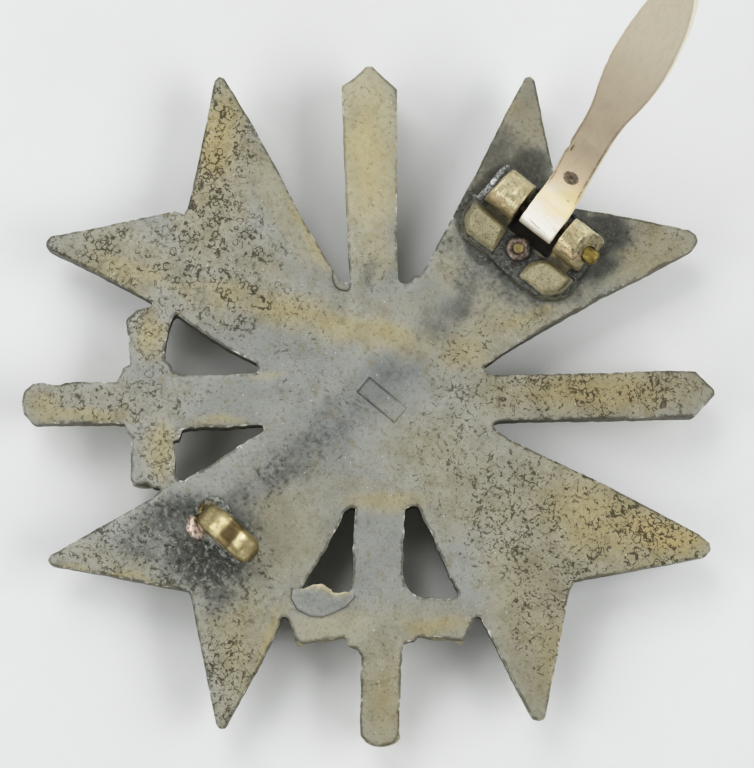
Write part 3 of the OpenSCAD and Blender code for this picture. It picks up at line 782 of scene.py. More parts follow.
def back_masks(x, y, edge_d):
    sx, sy = seen(x, y)
    wob = 0.55 * noise2(x, y, 2.6, 61, 2)
    wobx, woby = sx + 0.5 * noise2(x, y, 1.8, 62, 2), sy + 0.5 * noise2(x, y, 1.8, 63, 2)
    tan = np.maximum(ovals(TAN, wobx, woby, 0.15), ovals(BROAD, wobx, woby, 0.35))
    dark = ovals(DARK, wobx, woby, 0.25)
    corr = ovals(CORR, wobx, woby, 0.55)
    bu, bv = to_block(x, y)
    db = poly_dist(bu, bv, BASE_PTS)
    halo = 1 - smooth(0.25, 1.65, db + 0.5 * noise2(x, y, 1.2, 64) + 0.35 * smooth(0, 4, bu))
    dark = np.maximum(dark, 0.95 * halo)
    dark = np.maximum(dark, 0.5 * (1 - smooth(0.8, 3.0, np.hypot(bu + 5.0, (bv - 1.5) * 0.6))))
    hu, hv = to_hook(x, y)
    dh = np.hypot(hu + 1.0, hv)
    dark = np.maximum(dark, 0.75 * (1 - smooth(1.2, 4.2, dh)))
    tan = np.clip(tan + 0.10 * wob, 0, 1.3) * (1 - 0.85 * np.clip(dark, 0, 1))
    corr = corr * (1 - 0.7 * halo) * (1 - 0.85 * (1 - smooth(1.2, 4.6, np.hypot(sx + 6.8, (sy + 10.4) * 0.8))))
    # painted sheen and shade: 0.5 is neutral, above is lighter, below is darker
    light = np.clip(0.5 + 0.5 * ovals(SHEEN_AND_SHADE, sx, sy, 0.7), 0, 1)
    # dark outline round the cartouche, the flaw and the flash
    cu, cv = cart_coords(x, y)
    d = np.maximum(np.abs(cu) - CART_L / 2, np.abs(cv) - CART_W / 2)
    faint = np.clip(0.50 + 0.75 * noise2(x, y, 0.9, 67, 2), 0.12, 1)
    line = np.exp(-((d + 0.05) / 0.06) ** 2) * (0.32 + 0.36 * (np.abs(cv) > CART_W / 2 - 0.2)) * faint
    line = np.maximum(line, np.exp(-(line_dist(x, y, flaw_xy) / 0.08) ** 2))
    flash_xy = [tuple(turn2(p, 315)) for p in FLASH_ROOT]
    line = np.maximum(line, 1.0 * np.exp(-(line_dist(x, y, flash_xy) / 0.09) ** 2))
    near_hole = np.array([hole_tree.find((a_, sheen_, 0))[2] for a_, sheen_ in zip(x, y)])
    rim = np.exp(-(edge_d / 0.12) ** 2) * (0.50 + 0.50 * (near_hole < 0.4))
    return np.stack([tan, np.clip(dark, 0, 1), np.clip(corr, 0, 1)], 1), np.stack([light, rim, line], 1)


# ------------------------------------------------------------------ build the casting
edge_pts = np.concatenate(loops)
edge_tree = kdtree.KDTree(len(edge_pts))
for i, p in enumerate(edge_pts):
    edge_tree.insert((p[0], p[1], 0), i)
edge_tree.balance()
hole_pts = np.concatenate(loops[1:])
hole_tree = kdtree.KDTree(len(hole_pts))
for i, p in enumerate(hole_pts):
    hole_tree.insert((p[0], p[1], 0), i)
hole_tree.balance()


def edge_distance(P):
    return np.array([edge_tree.find((p[0], p[1], 0))[2] for p in P])


def hexgrid(pitch, seed, jitter=0.18):
    r = np.random.RandomState(seed)
    ys = np.arange(-26.5, 26.5, pitch * 0.866)
    pts = []
    for k, yy in enumerate(ys):
        xs = np.arange(-26.5, 26.5, pitch) + (pitch / 2 if k % 2 else 0)
        pts.append(np.stack([xs, np.full(len(xs), yy)], 1))
    P = np.concatenate(pts)
    return P + r.uniform(-jitter, jitter, P.shape) * pitch


def triangulate(const_loops, free_pts, keep_loops):
    pts, edges = [], []
    n = 0
    for L in const_loops:
        m = len(L)
        pts.extend(L.tolist())
        edges.extend([(n + i, n + (i + 1) % m) for i in range(m)])
        n += m
    pts.extend(free_pts.tolist())
    V, E, F, ov, oe, of = delaunay_2d_cdt([Vector(p) for p in pts], edges, [], 0, 1e-7)
    V = np.array([(v[0], v[1]) for v in V])
    F = np.array([list(f) for f in F])
    C = V[F].mean(1)
    F = F[inside_loops(C, keep_loops)]
    a = V[F]
    area = (a[:, 1, 0] - a[:, 0, 0]) * (a[:, 2, 1] - a[:, 0, 1]) - (a[:, 2, 0] - a[:, 0, 0]) * (a[:, 1, 1] - a[:, 0, 1])
    F[area < 0] = F[area < 0][:, ::-1]
    used = np.unique(F)
    remap = -np.ones(len(V), int)
    remap[used] = np.arange(len(used))
    return V[used], remap[F], V


# rings of the rim, from the back's inner ring over the wall to the front's inner ring
normals = [inward(L) for L in loops]
wear = [0.065 + 0.030 * noise2(L[:, 0], L[:, 1], 2.2, 71) for L in loops]
RINGS = [(1.0, 0.0, "b"), (0.45, 0.10, "b"), (0.12, 0.45, "b"), (0.0, 1.0, "b")]


def ring_set(k):
    L, N, w = loops[k], normals[k], wear[k]
    rough = 0.02 * noise2(L[:, 0] * 1.0, L[:, 1], 0.6, 81)
    rings = []
    zb = BACK - 0.03
    for inn, drop, _ in RINGS:
        rings.append(np.concatenate([L + N * (inn * w)[:, None], (zb - drop * w)[:, None]], 1))
    for z, inn in ((4.15, 0.00), (3.45, 0.02), (2.80, 0.05)):
        o = inn + rough + 0.02 * noise2(L[:, 0] * 1.0 + z, L[:, 1] + z * 1.7, 0.9, 83)
        rings.append(np.concatenate([L + N * o[:, None], np.full((len(L), 1), z)], 1))
    for inn, drop in ((0.06, 0.09), (0.09, 0.025), (0.15, 0.0)):
        rings.append(np.concatenate([L + N * inn, np.full((len(L), 1), FRONT + drop)], 1))
    return rings


all_rings = [ring_set(k) for k in range(len(loops))]
parts = []

# back face
back_loops = [r[0][:, :2] for r in all_rings]
grid = hexgrid(0.225, 3)
grid = grid[inside_loops(grid, loops)]
ed = edge_distance(grid)
grid = grid[ed > 0.20]


def dense_line(pts, step, closed=False):
    P_ = np.array(pts + [pts[0]] if closed else pts, float)
    d = np.r_[0, np.cumsum(np.hypot(*(P_[1:] - P_[:-1]).T))]
    t = np.arange(0, d[-1], step)
    return np.stack([np.interp(t, d, P_[:, 0]), np.interp(t, d, P_[:, 1])], 1)


feat = []
for off in (-0.17, -0.06, 0.05, 0.16):
    hl, hw = CART_L / 2 + off, CART_W / 2 + off
    feat.append(turn2(dense_line([(-hl, -hw), (hl, -hw), (hl, hw), (-hl, hw)], 0.11, True), CART_TURN) + np.array(CART_AT))
for line_pts, deg in ((FLAW, 135), (FLASH_ROOT, 315)):
    Q_ = dense_line(list(line_pts), 0.10)
    T_ = np.gradient(Q_, axis=0)
    T_ /= np.hypot(*T_.T)[:, None]
    for off in (-0.10, 0.0, 0.10):
        feat.append(turn2(Q_ + off * np.stack([-T_[:, 1], T_[:, 0]], 1), deg))
feat = np.concatenate(feat)
feat = feat[inside_loops(feat, loops)]
feat = feat[edge_distance(feat) > 0.15]
feat_tree = kdtree.KDTree(len(feat))
for i, p in enumerate(feat):
    feat_tree.insert((p[0], p[1], 0), i)
feat_tree.balance()
grid = np.concatenate([grid[np.array([feat_tree.find((p[0], p[1], 0))[2] > 0.11 for p in grid])], feat])
Vb, Fb, _ = triangulate(back_loops, grid, back_loops)
edb = edge_distance(Vb)
zb = back_height(Vb[:, 0].copy(), Vb[:, 1].copy(), edb)
ring_pts = np.concatenate(back_loops)
ring_z = np.concatenate([r[0][:, 2] for r in all_rings])
ring_tree = kdtree.KDTree(len(ring_pts))
for i, p in enumerate(ring_pts):
    ring_tree.insert((p[0], p[1], 0), i)
ring_tree.balance()
for i, p in enumerate(Vb):
    co, k, d = ring_tree.find((p[0], p[1], 0))
    if d < 1e-4:
        zb[i] = ring_z[k]
m1, m2 = back_masks(Vb[:, 0], Vb[:, 1], edb)
parts.append((np.column_stack([Vb, zb]), Fb, {"mask": m1, "aux": m2, "side": np.zeros(len(Vb))}))

# rim and wall
for k, rings in enumerate(all_rings):
    n = len(loops[k])
    P = np.concatenate(rings)
    F = []
    for a in range(len(rings) - 1):
        i = np.arange(n)
        j = (i + 1) % n
        F.append(np.stack([a * n + i, (a + 1) * n + i, (a + 1) * n + j, a * n + j], 1))
    F = np.concatenate(F)
    xy = np.tile(loops[k], (len(rings), 1))
    m1, m2 = back_masks(xy[:, 0], xy[:, 1], np.zeros(len(xy)))
    depth = np.clip((BACK - P[:, 2]) / 0.5, 0, 1)
    # painted shade: the wall darkens and loses its tan below the worn top edge
    m1[:, 1] = np.maximum(m1[:, 1], 0.80 * depth)
    m1[:, 0] *= 1 - 0.8 * depth
    m2[:, 1] = 1 - depth
    parts.append((P, F, {"mask": m1, "aux": m2, "side": 0.5 * depth}))


# front face: bordered arms with sunk, pebbled fields
def arm_half(r):
    return 2.28 + (8.85 - 2.28) * r / 25.25


def field_pts(inn):
    slope = (8.85 - 2.28) / 25.25
    side = inn * math.sqrt(1 + slope * slope)
    y0, ytip, yn = 6.95, 25.25 - inn * 1.6, 25.25 - 5.4 - inn * 1.25
    xt = arm_half(ytip) - side
    right = [(arm_half(y0) - side, y0), (xt, ytip - 0.25), (xt - 0.15, ytip), (xt - 0.7, ytip), (0.35, yn + 0.12)]
    return right + [(0, yn)] + [(-a, b) for a, b in right[::-1]]


def dense(pts, step=0.25):
    out = []
    for k in range(len(pts)):
        a, b = np.array(pts[k]), np.array(pts[(k + 1) % len(pts)])
        m = max(1, int(np.hypot(*(b - a)) / step))
        out.extend([a + (b - a) * i / m for i in range(m)])
    return np.array(out)


front_loops = [r[-1][:, :2] for r in all_rings]
field_top = [dense(turn2(field_pts(0.95), a)) for a in (0, 90, 180, 270)]
field_bot = [dense(turn2(field_pts(1.07), a)) for a in (0, 90, 180, 270)]
gf = hexgrid(0.21, 7)
gc = hexgrid(0.55, 8)
fields = [[tuple(p) for p in turn2(field_pts(1.07), a)] for a in (0, 90, 180, 270)]


def field_depth(P):
    d = np.full(len(P), 9.0)
    for f in [[tuple(p) for p in turn2(field_pts(0.95), a)] for a in (0, 90, 180, 270)]:
        d = np.minimum(d, poly_dist(P[:, 0], P[:, 1], f))
    return d


df = field_depth(gf)
gf = gf[(df < -0.22) & (np.hypot(*gf.T) > 7.9)]
dc = field_depth(gc)
gc = gc[(dc > 0.2) & (np.hypot(*gc.T) > 7.9)]
gc = gc[inside_loops(gc, loops)]
gc = gc[edge_distance(gc) > 0.35]
Vf, Ff, _ = triangulate(front_loops + field_top + field_bot, np.concatenate([gf, gc]), front_loops)
dfv = field_depth(Vf)
pebble_pts = hexgrid(0.62, 9, 0.16)
peb = kdtree.KDTree(len(pebble_pts))
for i, p in enumerate(pebble_pts):
    peb.insert((p[0], p[1], 0), i)
peb.balance()
dpeb = np.array([peb.find((p[0], p[1], 0))[2] for p in Vf])
bump = 0.15 * np.sqrt(np.clip(1 - (dpeb / 0.34) ** 2, 0, 1))
inside_f = smooth(-0.005, -0.115, dfv)
zf = FRONT + SINK * inside_f - bump * smooth(-0.16, -0.34, dfv)
edf = edge_distance(Vf)
sf = np.stack([0.35 + 0.5 * (1 - inside_f) + 0.2 * noise2(Vf[:, 0], Vf[:, 1], 3.0, 91, 2),
               0.35 + 0.55 * inside_f * (1 - smooth(0.02, 0.12, bump)) + 0.1 * noise2(Vf[:, 0], Vf[:, 1], 4.0, 92, 2),
               np.full(len(Vf), 0.35)], 1)
Ff = Ff[:, ::-1]
parts.append((np.column_stack([Vf, zf]), Ff, {"mask": np.clip(sf, 0, 1),
             "aux": np.stack([np.full(len(Vf), .5), np.exp(-(edf / 0.25) ** 2) * .5, np.zeros(len(Vf))], 1), "side": np.ones(len(Vf))}))


def outward(V, F):
    """The faces of a closed shell, turned so that they look outwards."""
    T = np.array([(f[0], f[i], f[i + 1]) for f in F for i in range(1, len(f) - 1)])
    volume = np.einsum("ij,ij->i", V[T[:, 0]], np.cross(V[T[:, 1]], V[T[:, 2]])).sum()
    return F if volume > 0 else [list(f)[::-1] for f in F]


def front_part(V, F, tan=0.75, dark=0.0, corr=0.2):
    V = np.asarray(V, float)
    F = outward(V, F)
    n = len(V)
    t = np.clip(tan + 0.25 * noise2(V[:, 0], V[:, 1], 1.5, 93, 2), 0, 1)
    parts.append((V, F, {"mask": np.stack([t, np.full(n, dark) if np.isscalar(dark) else dark, np.full(n, corr)], 1),
                         "aux": np.stack([np.full(n, .5), np.zeros(n), np.zeros(n)], 1), "side": np.ones(n)}))


# the thin flash over one opening
def flash_sheet():
    free = np.array(FLASH_FREE)
    root = np.array(FLASH_ROOT)[::-1]
    m = 44

    def along(P, n):
        d = np.r_[0, np.cumsum(np.hypot(*(P[1:] - P[:-1]).T))]
        t = np.linspace(0, d[-1], n)
        return np.stack([np.interp(t, d, P[:, 0]), np.interp(t, d, P[:, 1])], 1)
    a, b = along(free, m), along(root, m)
    a += 0.10 * np.stack([noise2(a[:, 0], a[:, 1], 0.33, 95), noise2(a[:, 0], a[:, 1], 0.33, 96)], 1)
    rows = 14
    ts = np.linspace(0, 1, rows)
    top, bot = [], []
    for t in ts:
        p = a * (1 - t) + b * t
        q = turn2(p, 315)
        lift = 0.06 * math.sin(math.pi * min(1, t * 1.3)) + 0.03
        zt = BACK + lift + 0.03 * noise2(q[:, 0], q[:, 1], 0.7, 97) - 0.06 * (1 - t) ** 4
        if t > 0.97:
            zt = zt * 0 + BACK - 0.01
        top.append(np.column_stack([q, zt]))
        bot.append(np.column_stack([q, np.full(m, BACK - 0.07)]))
    top, bot = np.array(top), np.array(bot)
    V = np.concatenate([top.reshape(-1, 3), bot.reshape(-1, 3)])
    F = []
    o = rows * m
    for r in range(rows - 1):
        for c in range(m - 1):
            i = r * m + c
            F.append([i, i + m, i + m + 1, i + 1])
            F.append([o + i, o + i + 1, o + i + m + 1, o + i + m])
    for r in range(rows - 1):
        i, j = r * m, (r + 1) * m
        F.append([i, o + i, o + j, j])
        i, j = r * m + m - 1, (r + 1) * m + m - 1
        F.append([i, j, o + j, o + i])
    for c in range(m - 1):
        F.append([c, c + 1, o + c + 1, o + c])
        i = (rows - 1) * m + c
        F.append([i, o + i, o + i + 1, i + 1])
    A = V[:, :2]
    m1, m2 = back_masks(A[:, 0], A[:, 1], np.full(len(A), 3.0))
    tt = np.tile(np.repeat(ts, m), 2)
    m1[:, 0], m1[:, 1], m1[:, 2] = 0.75 * (1 - smooth(0.05, 0.30, tt)) + 0.02, 0.0, 0.1
    # painted highlight along the free edge of the flash
    m2[:, 0] = 0.50 + 0.40 * (1 - smooth(0.03, 0.16, tt))
    m2[:, 1] = 0.0 * tt
    m2[:, 2] = 0.55 * smooth(0.93, 1.0, tt)
    parts.append((V, F, {"mask": m1, "aux": m2, "side": np.zeros(len(V))}))


flash_sheet()


# ------------------------------------------------------------------ relief of the front, hidden while it lies face down
def relief_blade(deg):
    rings = []
    for r in np.concatenate([np.linspace(7.9, 23.3, 60), np.linspace(23.4, 24.75, 8)]):
        w = 1.72 if r < 23.3 else 1.72 * max(0.04, (24.85 - r) / 1.55)
        h = 0.6 * min(1, w / 1.0)
        sec = [(-w, 2.52), (-w + .10 * w, 2.30), (-w * .45, 2.12 - h * .12), (-w * .30, 2.18), (0, 2.4 - h), (w * .30, 2.18), (w * .45, 2.12 - h * .12), (w - .10 * w, 2.30), (w, 2.52), (0, 2.62)]
        rings.append([(*turn2((r, s[0]), deg), s[1]) for s in sec])
    V, F = loft(rings)
    front_part(V, [f[::-1] for f in F], 0.8)


def relief_tube(deg, r0, r1, prof, wrap=0.0, turns=9, n=20, zc=2.75):
    """A half-round bar along the sword, prof(t) -> half width; wrap > 0 gives a wire-wound grip."""
    rings = []
    for r in np.linspace(r0, r1, 90):
        t = (r - r0) / (r1 - r0)
        w = prof(t)
        ring = []
        for a in np.linspace(0, 2 * math.pi, n, endpoint=False):
            rr = w * (1 + wrap * math.sin(2 * math.pi * turns * t + a))
            ring.append((*turn2((r, rr * math.cos(a)), deg), zc + rr * math.sin(a) * 0.97))
        rings.append(ring)
    V, F = loft(rings)
    front_part(V, [f[::-1] for f in F], 0.8)


def relief_guard(deg):
    rings = []
    for l in np.linspace(-6.25, 6.25, 80):
        t = abs(l) / 6.25
        w = 0.78 + 0.10 * math.cos(3 * math.pi * t) + 0.34 * math.exp(-((t - 0.93) / 0.08) ** 2) + 0.45 * math.exp(-(t / 0.16) ** 2)
        if t > 0.985:
            w *= 0.6
        ring = []
        for a in np.linspace(0, 2 * math.pi, 18, endpoint=False):
            ring.append((*turn2((16.75 + w * 1.05 * math.cos(a) + 0.35 * (t ** 2), l), deg), 2.72 + w * math.sin(a)))
        rings.append(ring)
    V, F = loft(rings)
    front_part(V, F, 0.8)


for deg in (45, 135):
    relief_blade(deg)
for deg in (225, 315):
    relief_guard(deg)
    relief_tube(deg, 17.9, 24.4, lambda t: 1.18 + 0.16 * math.sin(math.pi * t), wrap=0.06)
    relief_tube(deg, 24.1, 25.55, lambda t: 1.36 * math.sqrt(max(0.02, 1 - (2 * t - 1) ** 2)))
    # stub of the blade between the hub and the guard
    rings = []
    for r in np.linspace(7.9, 15.9, 24):
        sec = [(-1.72, 2.52), (-1.55, 2.30), (0, 1.85), (1.55, 2.30), (1.72, 2.52), (0, 2.62)]
        rings.append([(*turn2((r, s[0]), deg), s[1]) for s in sec])
    V, F = loft(rings)
    front_part(V, [f[::-1] for f in F], 0.8)

# medallion: ring, floor, bare disc
prof = [(0.0, 2.95), (8.17, 2.95), (8.2, 2.7), (8.2, .22), (8.14, .06), (8.0, 0.0), (7.85, .03), (7.74, .06), (7.62, .03), (7.46, 0.0), (7.34, .06),
        (7.29, .55), (7.2, .62), (4.62, .62), (4.52, .56), (4.49, .08), (4.42, 0.0), (4.25, 0.0), (4.20, .035), (4.05, .04), (3.95, .01), (3.0, .012), (1.5, .008), (0.0, 0.006)]
nseg = 144
rings = []
for r, z in prof[1:-1]:
    a = np.linspace(0, 2 * math.pi, nseg, endpoint=False)
    zz = np.full(nseg, z)
    if r > 0:
        zz = np.maximum(zz, 0.0)
    rings.append(np.stack([r * np.cos(a), r * np.sin(a), zz], 1))
V, F = loft(np.array(rings))
front_part(V, F, 0.7, 0.0, 0.25)

# round wreath: a half-round band with overlapping pointed leaves, bound at the foot
rings = []
for a in np.linspace(0, 2 * math.pi, 180, endpoint=False):
    ring = []
    for b in np.linspace(0, 2 * math.pi, 14, endpoint=False):
        rr = 5.92 + 0.62 * math.cos(b)
        ring.append((rr * math.cos(a), rr * math.sin(a), 0.86 + 0.52 * math.sin(b)))
    rings.append(ring)
rings.append(rings[0])
V, F = loft(rings, caps=False)
V = V[:len(V)]
nring = 14
F = [[i % (180 * nring) for i in f] for f in F]
front_part(V[:180 * nring], [f[::-1] for f in F], 0.45, 0.4)


def leaf(cx, cy, direction, length, width, z0, lift):
    """A pointed leaf with a midrib, as a closed thin lens."""
    k, n = 9, 12
    rings = []
    ca, sa = math.cos(direction), math.sin(direction)
    for t in np.linspace(0.02, 0.98, k):
        w = width * math.sin(math.pi * t ** 0.8) ** 0.8
        ring = []
        for b in np.linspace(0, 2 * math.pi, n, endpoint=False):
            s = w * math.cos(b)
            z = z0 - lift * math.sin(math.pi * t) - max(0, math.sin(b)) * 0.16 * (1 - 0.55 * abs(math.cos(b))) + (0.05 if abs(math.cos(b)) < 0.2 and math.sin(b) > 0 else 0) + max(0, -math.sin(b)) * 0.25
            u = (t - 0.5) * length
            ring.append((cx + u * ca - s * sa, cy + u * sa + s * ca, max(z, 0.055)))
        rings.append(ring)
    return loft(rings)


for side in (1, -1):
    for i in range(17):
        ang = math.radians(-90 + side * (9 + i * 10.0))
        for off, tilt, w in ((0.0, 0, .36), (0.42, 32, .30), (-0.42, -32, .30)):
            R = 5.92 + off
            a = ang - side * math.radians(2.5 if off == 0 else 0)
            d = a + side * (math.pi / 2) - side * math.radians(tilt)
            V, F = leaf(R * math.cos(a), R * math.sin(a), d, 1.35, w, 0.42 if off == 0 else 0.50, 0.12)
            front_part(V, [f for f in F], 0.85, 0.0, 0.1)
for da in (-5, 5):
    rings = []
    for b in np.linspace(0, 2 * math.pi, 16, endpoint=False):
        ring = []
        for q in np.linspace(0, 2 * math.pi, 8, endpoint=False):
            a = math.radians(-90 + da) + 0.028 * math.cos(q)
            rr = 5.92 + (0.66 + 0.09 * math.sin(q)) * math.cos(b)
            ring.append((rr * math.cos(a), rr * math.sin(a), max(0.06, 0.86 + (0.60 + 0.09 * math.sin(q)) * math.sin(b))))
        rings.append(ring)
    rings.append(rings[0])
    V, F = loft(rings, caps=False)
    F = [[i % (16 * 8) for i in f] for f in F]
    front_part(V[:16 * 8], F, 0.85)

V, F, A = join(parts)
# weld the rings that the faces share
more_x, more_y = seen(V[:, 0], V[:, 1])
more_x = more_x + 0.5 * noise2(V[:, 0], V[:, 1], 1.8, 65, 2)
more_y = more_y + 0.5 * noise2(V[:, 0], V[:, 1], 1.8, 66, 2)
A["more"] = np.stack([np.clip(ovals(t, more_x, more_y, 0.35), 0, 1) * (V[:, 2] > 4.0) for t in (NET, CRUST, BLUE)], 1)
cross = add_mesh("cross_casting", V, F, A, flat_deg=42)
mod = cross.modifiers.new("weld", "WELD")
mod.merge_threshold = 2e-7


def bake_modifiers(ob):
    dg = bpy.context.evaluated_depsgraph_get()
    me = bpy.data.meshes.new_from_object(ob.evaluated_get(dg), preserve_all_data_layers=True, depsgraph=dg)
    old = ob.data
    ob.modifiers.clear()
    ob.data = me
    bpy.data.meshes.remove(old)


bake_modifiers(cross)
# close the few pinholes left along the front's outline
bm = bmesh.new()
bm.from_mesh(cross.data)
bmesh.ops.holes_fill(bm, edges=[e for e in bm.edges if e.is_boundary], sides=0)
bm.to_mesh(cross.data)
bm.free()
cross.data.set_sharp_from_angle(angle=math.radians(42))

# ------------------------------------------------------------------ material of the casting
mz = Mat("zinc_casting")
tan, dark, corr = mz.split(mz.attr("mask", "Color"))
light, rim, line = mz.split(mz.attr("aux", "Color"))
side = mz.attr("side")
net, crust, blue = mz.split(mz.attr("more", "Color"))
n_big = mz.noise(5.0, 2, 0.55)
n_mid = mz.noise(1.4, 3, 0.62)
n_fine = mz.noise(0.34, 3, 0.62)
n_grain = mz.noise(0.13, 2, 0.6)
n_dot = mz.noise(0.20, 1.5, 0.5, offset=(0.3, 0.3, 0.3))
tt = mz.add(tan, mz.mul(mz.add(n_mid, -0.5), 0.55))
tt = mz.add(tt, mz.mul(mz.add(n_fine, -0.5), 0.45))
tt = mz.math("MAXIMUM", tt, 0.0)
grey = mz.mix(mz.step(n_big, 0.35, 0.68), lin(153, 154, 149), lin(141, 143, 138))
grey = mz.mix(mz.step(n_mid, 0.42, 0.70, 0, 0.5), grey, lin(126, 129, 125))
grey = mz.mix(mz.mul(blue, mz.step(n_mid, 0.30, 0.62, 0.60, 0.95)), grey, lin(117, 121, 121))
tanc = mz.mix(mz.step(n_mid, 0.32, 0.68), lin(168, 160, 130), lin(152, 145, 118))
base = mz.mix(mz.math("MINIMUM", tt, 1.0), grey, tanc)
base = mz.mix(mz.step(tt, 0.85, 1.45, 0, 0.75), base, lin(182, 163, 119))
# fine mottling: darker freckles, pale grains
base = mz.mix(mz.mul(mz.step(n_fine, 0.52, 0.70), 0.46), base, lin(100, 99, 88))
base = mz.mix(mz.mul(mz.step(n_dot, 0.62, 0.72), 0.30), base, lin(92, 90, 78))
base = mz.mix(mz.mul(mz.step(n_grain, 0.58, 0.76), 0.34), base, lin(212, 209, 194))
n_green = mz.noise(0.9, 3, 0.65, offset=(0.5, 0.9, 0.2))
base = mz.mix(mz.mul(mz.step(n_green, 0.55, 0.70), 0.42), base, lin(128, 120, 90))
n_lite = mz.noise(0.24, 1.0, 0.5, offset=(0.8, 0.2, 0.6))
base = mz.mix(mz.mul(mz.step(n_lite, 0.745, 0.79), 0.65), base, lin(226, 226, 214))
# curly corrosion: short broken contours of a noise, and clusters of specks
curl = mz.noise(0.80, 1.8, 0.5, offset=(0.4, 0.1, 0.2), distortion=0.45)
curl_line = mz.step(mz.math("ABSOLUTE", mz.add(curl, -0.5)), 0.040, 0.012)
curl2 = mz.noise(0.52, 1.5, 0.5, offset=(0.9, 0.3, 0.7), distortion=0.5)
curl_line2 = mz.step(mz.math("ABSOLUTE", mz.add(curl2, -0.46)), 0.040, 0.012)
broken = mz.noise(0.30, 2, 0.6, offset=(0.2, 0.8, 0.5))
patch = mz.noise(2.3, 2.5, 0.6, offset=(0.6, 0.6, 0.1))
speck = mz.noise(0.22, 1.5, 0.5, offset=(0.1, 0.5, 0.9))
dens = mz.add(corr, mz.mul(mz.add(patch, -0.5), 1.9))
seg = mz.step(mz.add(broken, mz.mul(dens, 0.24)), 0.605, 0.70)
seg2 = mz.step(mz.add(broken, mz.mul(dens, 0.32)), 0.75, 0.84)
# networks of small rings on one arm: circles round scattered points, and thin cracks that join them
co_w = mz.warped(0.50, 0.16, 2.0)
loop_a = mz.voronoi(0.76, "F1", 1.0, co_w)
crack = mz.voronoi(0.82, "DISTANCE_TO_EDGE", 1.0, co_w)
broad = mz.noise(0.85, 1.5, 0.5, offset=(0.3, 0.6, 0.9))
loop_r = mz.math("ABSOLUTE", mz.math("SUBTRACT", loop_a, mz.step(broken, 0.35, 0.65, 0.25, 0.42)))
loop_l = mz.step(loop_r, 0.088, 0.038)
crack_l = mz.step(crack, 0.062, 0.028)
net_d = mz.add(net, mz.mul(mz.add(patch, -0.5), 1.8))
net_on = mz.step(mz.add(broad, mz.mul(net_d, 0.30)), 0.63, 0.72)
net_on2 = mz.step(mz.add(mz.add(mz.mul(broken, 0.5), mz.mul(broad, 0.6)), mz.mul(net_d, 0.28)), 0.78, 0.87)
rings_ = mz.math("MAXIMUM", mz.mul(mz.mul(loop_l, net_on), mz.step(broken, 0.34, 0.46)), mz.mul(crack_l, net_on2))
rings_ = mz.mul(rings_, mz.step(net, 0.05, 0.35))
specks = mz.step(mz.add(speck, mz.mul(dens, 0.13)), 0.755, 0.81)
worm = mz.math("MAXIMUM", mz.mul(curl_line, seg), mz.mul(curl_line2, seg2))
worm = mz.mul(worm, mz.step(net, 0.85, 0.35, 0.15, 1.0))
worm = mz.math("MAXIMUM", worm, specks)
worm = mz.mul(worm, mz.step(corr, 0.02, 0.22))
worm = mz.math("MAXIMUM", worm, rings_)
# dark stains, mottled and crusty; on the walls the same dark carries painted shade
mott = mz.add(mz.mul(mz.add(n_mid, -0.5), 1.0), mz.mul(mz.add(n_fine, -0.5), 0.9))
dark_on = mz.step(mz.add(dark, mz.mul(mott, 0.85)), 0.06, 1.0)
darkc = mz.mix(mz.step(n_fine, 0.35, 0.72), lin(60, 62, 58), lin(96, 98, 94))
base = mz.mix(mz.mul(dark_on, 0.93), base, darkc)
base = mz.mix(mz.mul(mz.mul(dark_on, mz.step(n_grain, 0.58, 0.72)), 0.45), base, lin(150, 152, 146))
n_cr = mz.noise(0.46, 3, 0.74, offset=(0.15, 0.45, 0.75))
cr_on = mz.step(mz.add(crust, mz.mul(mz.add(n_mid, -0.5), 0.8)), 0.10, 0.60)
base = mz.mix(mz.mul(mz.mul(cr_on, mz.step(n_cr, 0.48, 0.37)), 0.72), base, lin(60, 60, 55))
base = mz.mix(mz.mul(mz.mul(cr_on, mz.step(n_cr, 0.54, 0.63)), 0.62), base, lin(148, 150, 140))
base = mz.mix(mz.mul(worm, mz.step(corr, 0.0, 0.9, 0.56, 0.84)), base, lin(58, 54, 42))
# walls: painted shade, darker than the back, with brown and pale smears
wall = mz.mul(mz.step(side, 0.05, 0.42), mz.step(side, 0.95, 0.7))
wall_shade_col = mz.mix(mz.step(n_mid, 0.40, 0.62), lin(84, 82, 72), lin(110, 104, 84))
base = mz.mix(mz.mul(wall, 0.85), base, wall_shade_col)
base = mz.mix(mz.mul(line, 0.90), base, lin(52, 52, 46))
# burr rims: painted glints, most round the openings, and a broken dark line of painted shade along the edges
n_rim = mz.noise(0.42, 2.5, 0.6, offset=(0.7, 0.2, 0.4))
n_rim2 = mz.noise(1.9, 2.0, 0.5, offset=(0.1, 0.7, 0.3))
gloom = mz.mul(mz.step(rim, 0.16, 0.58), mz.step(mz.add(mz.mul(n_rim, 0.6), mz.mul(n_rim2, 0.8)), 0.84, 0.62))
glint = mz.mul(mz.step(rim, 0.50, 0.85), mz.mul(mz.step(n_rim, 0.55, 0.64), mz.step(n_rim2, 0.42, 0.56)))
glint = mz.math("MAXIMUM", glint, mz.mul(mz.step(rim, 0.25, 0.48), mz.step(n_rim, 0.66, 0.74)))
base = mz.mix(mz.mul(gloom, 0.66), base, lin(64, 62, 52))
base = mz.mix(mz.mul(glint, 0.62), base, lin(228, 226, 212))
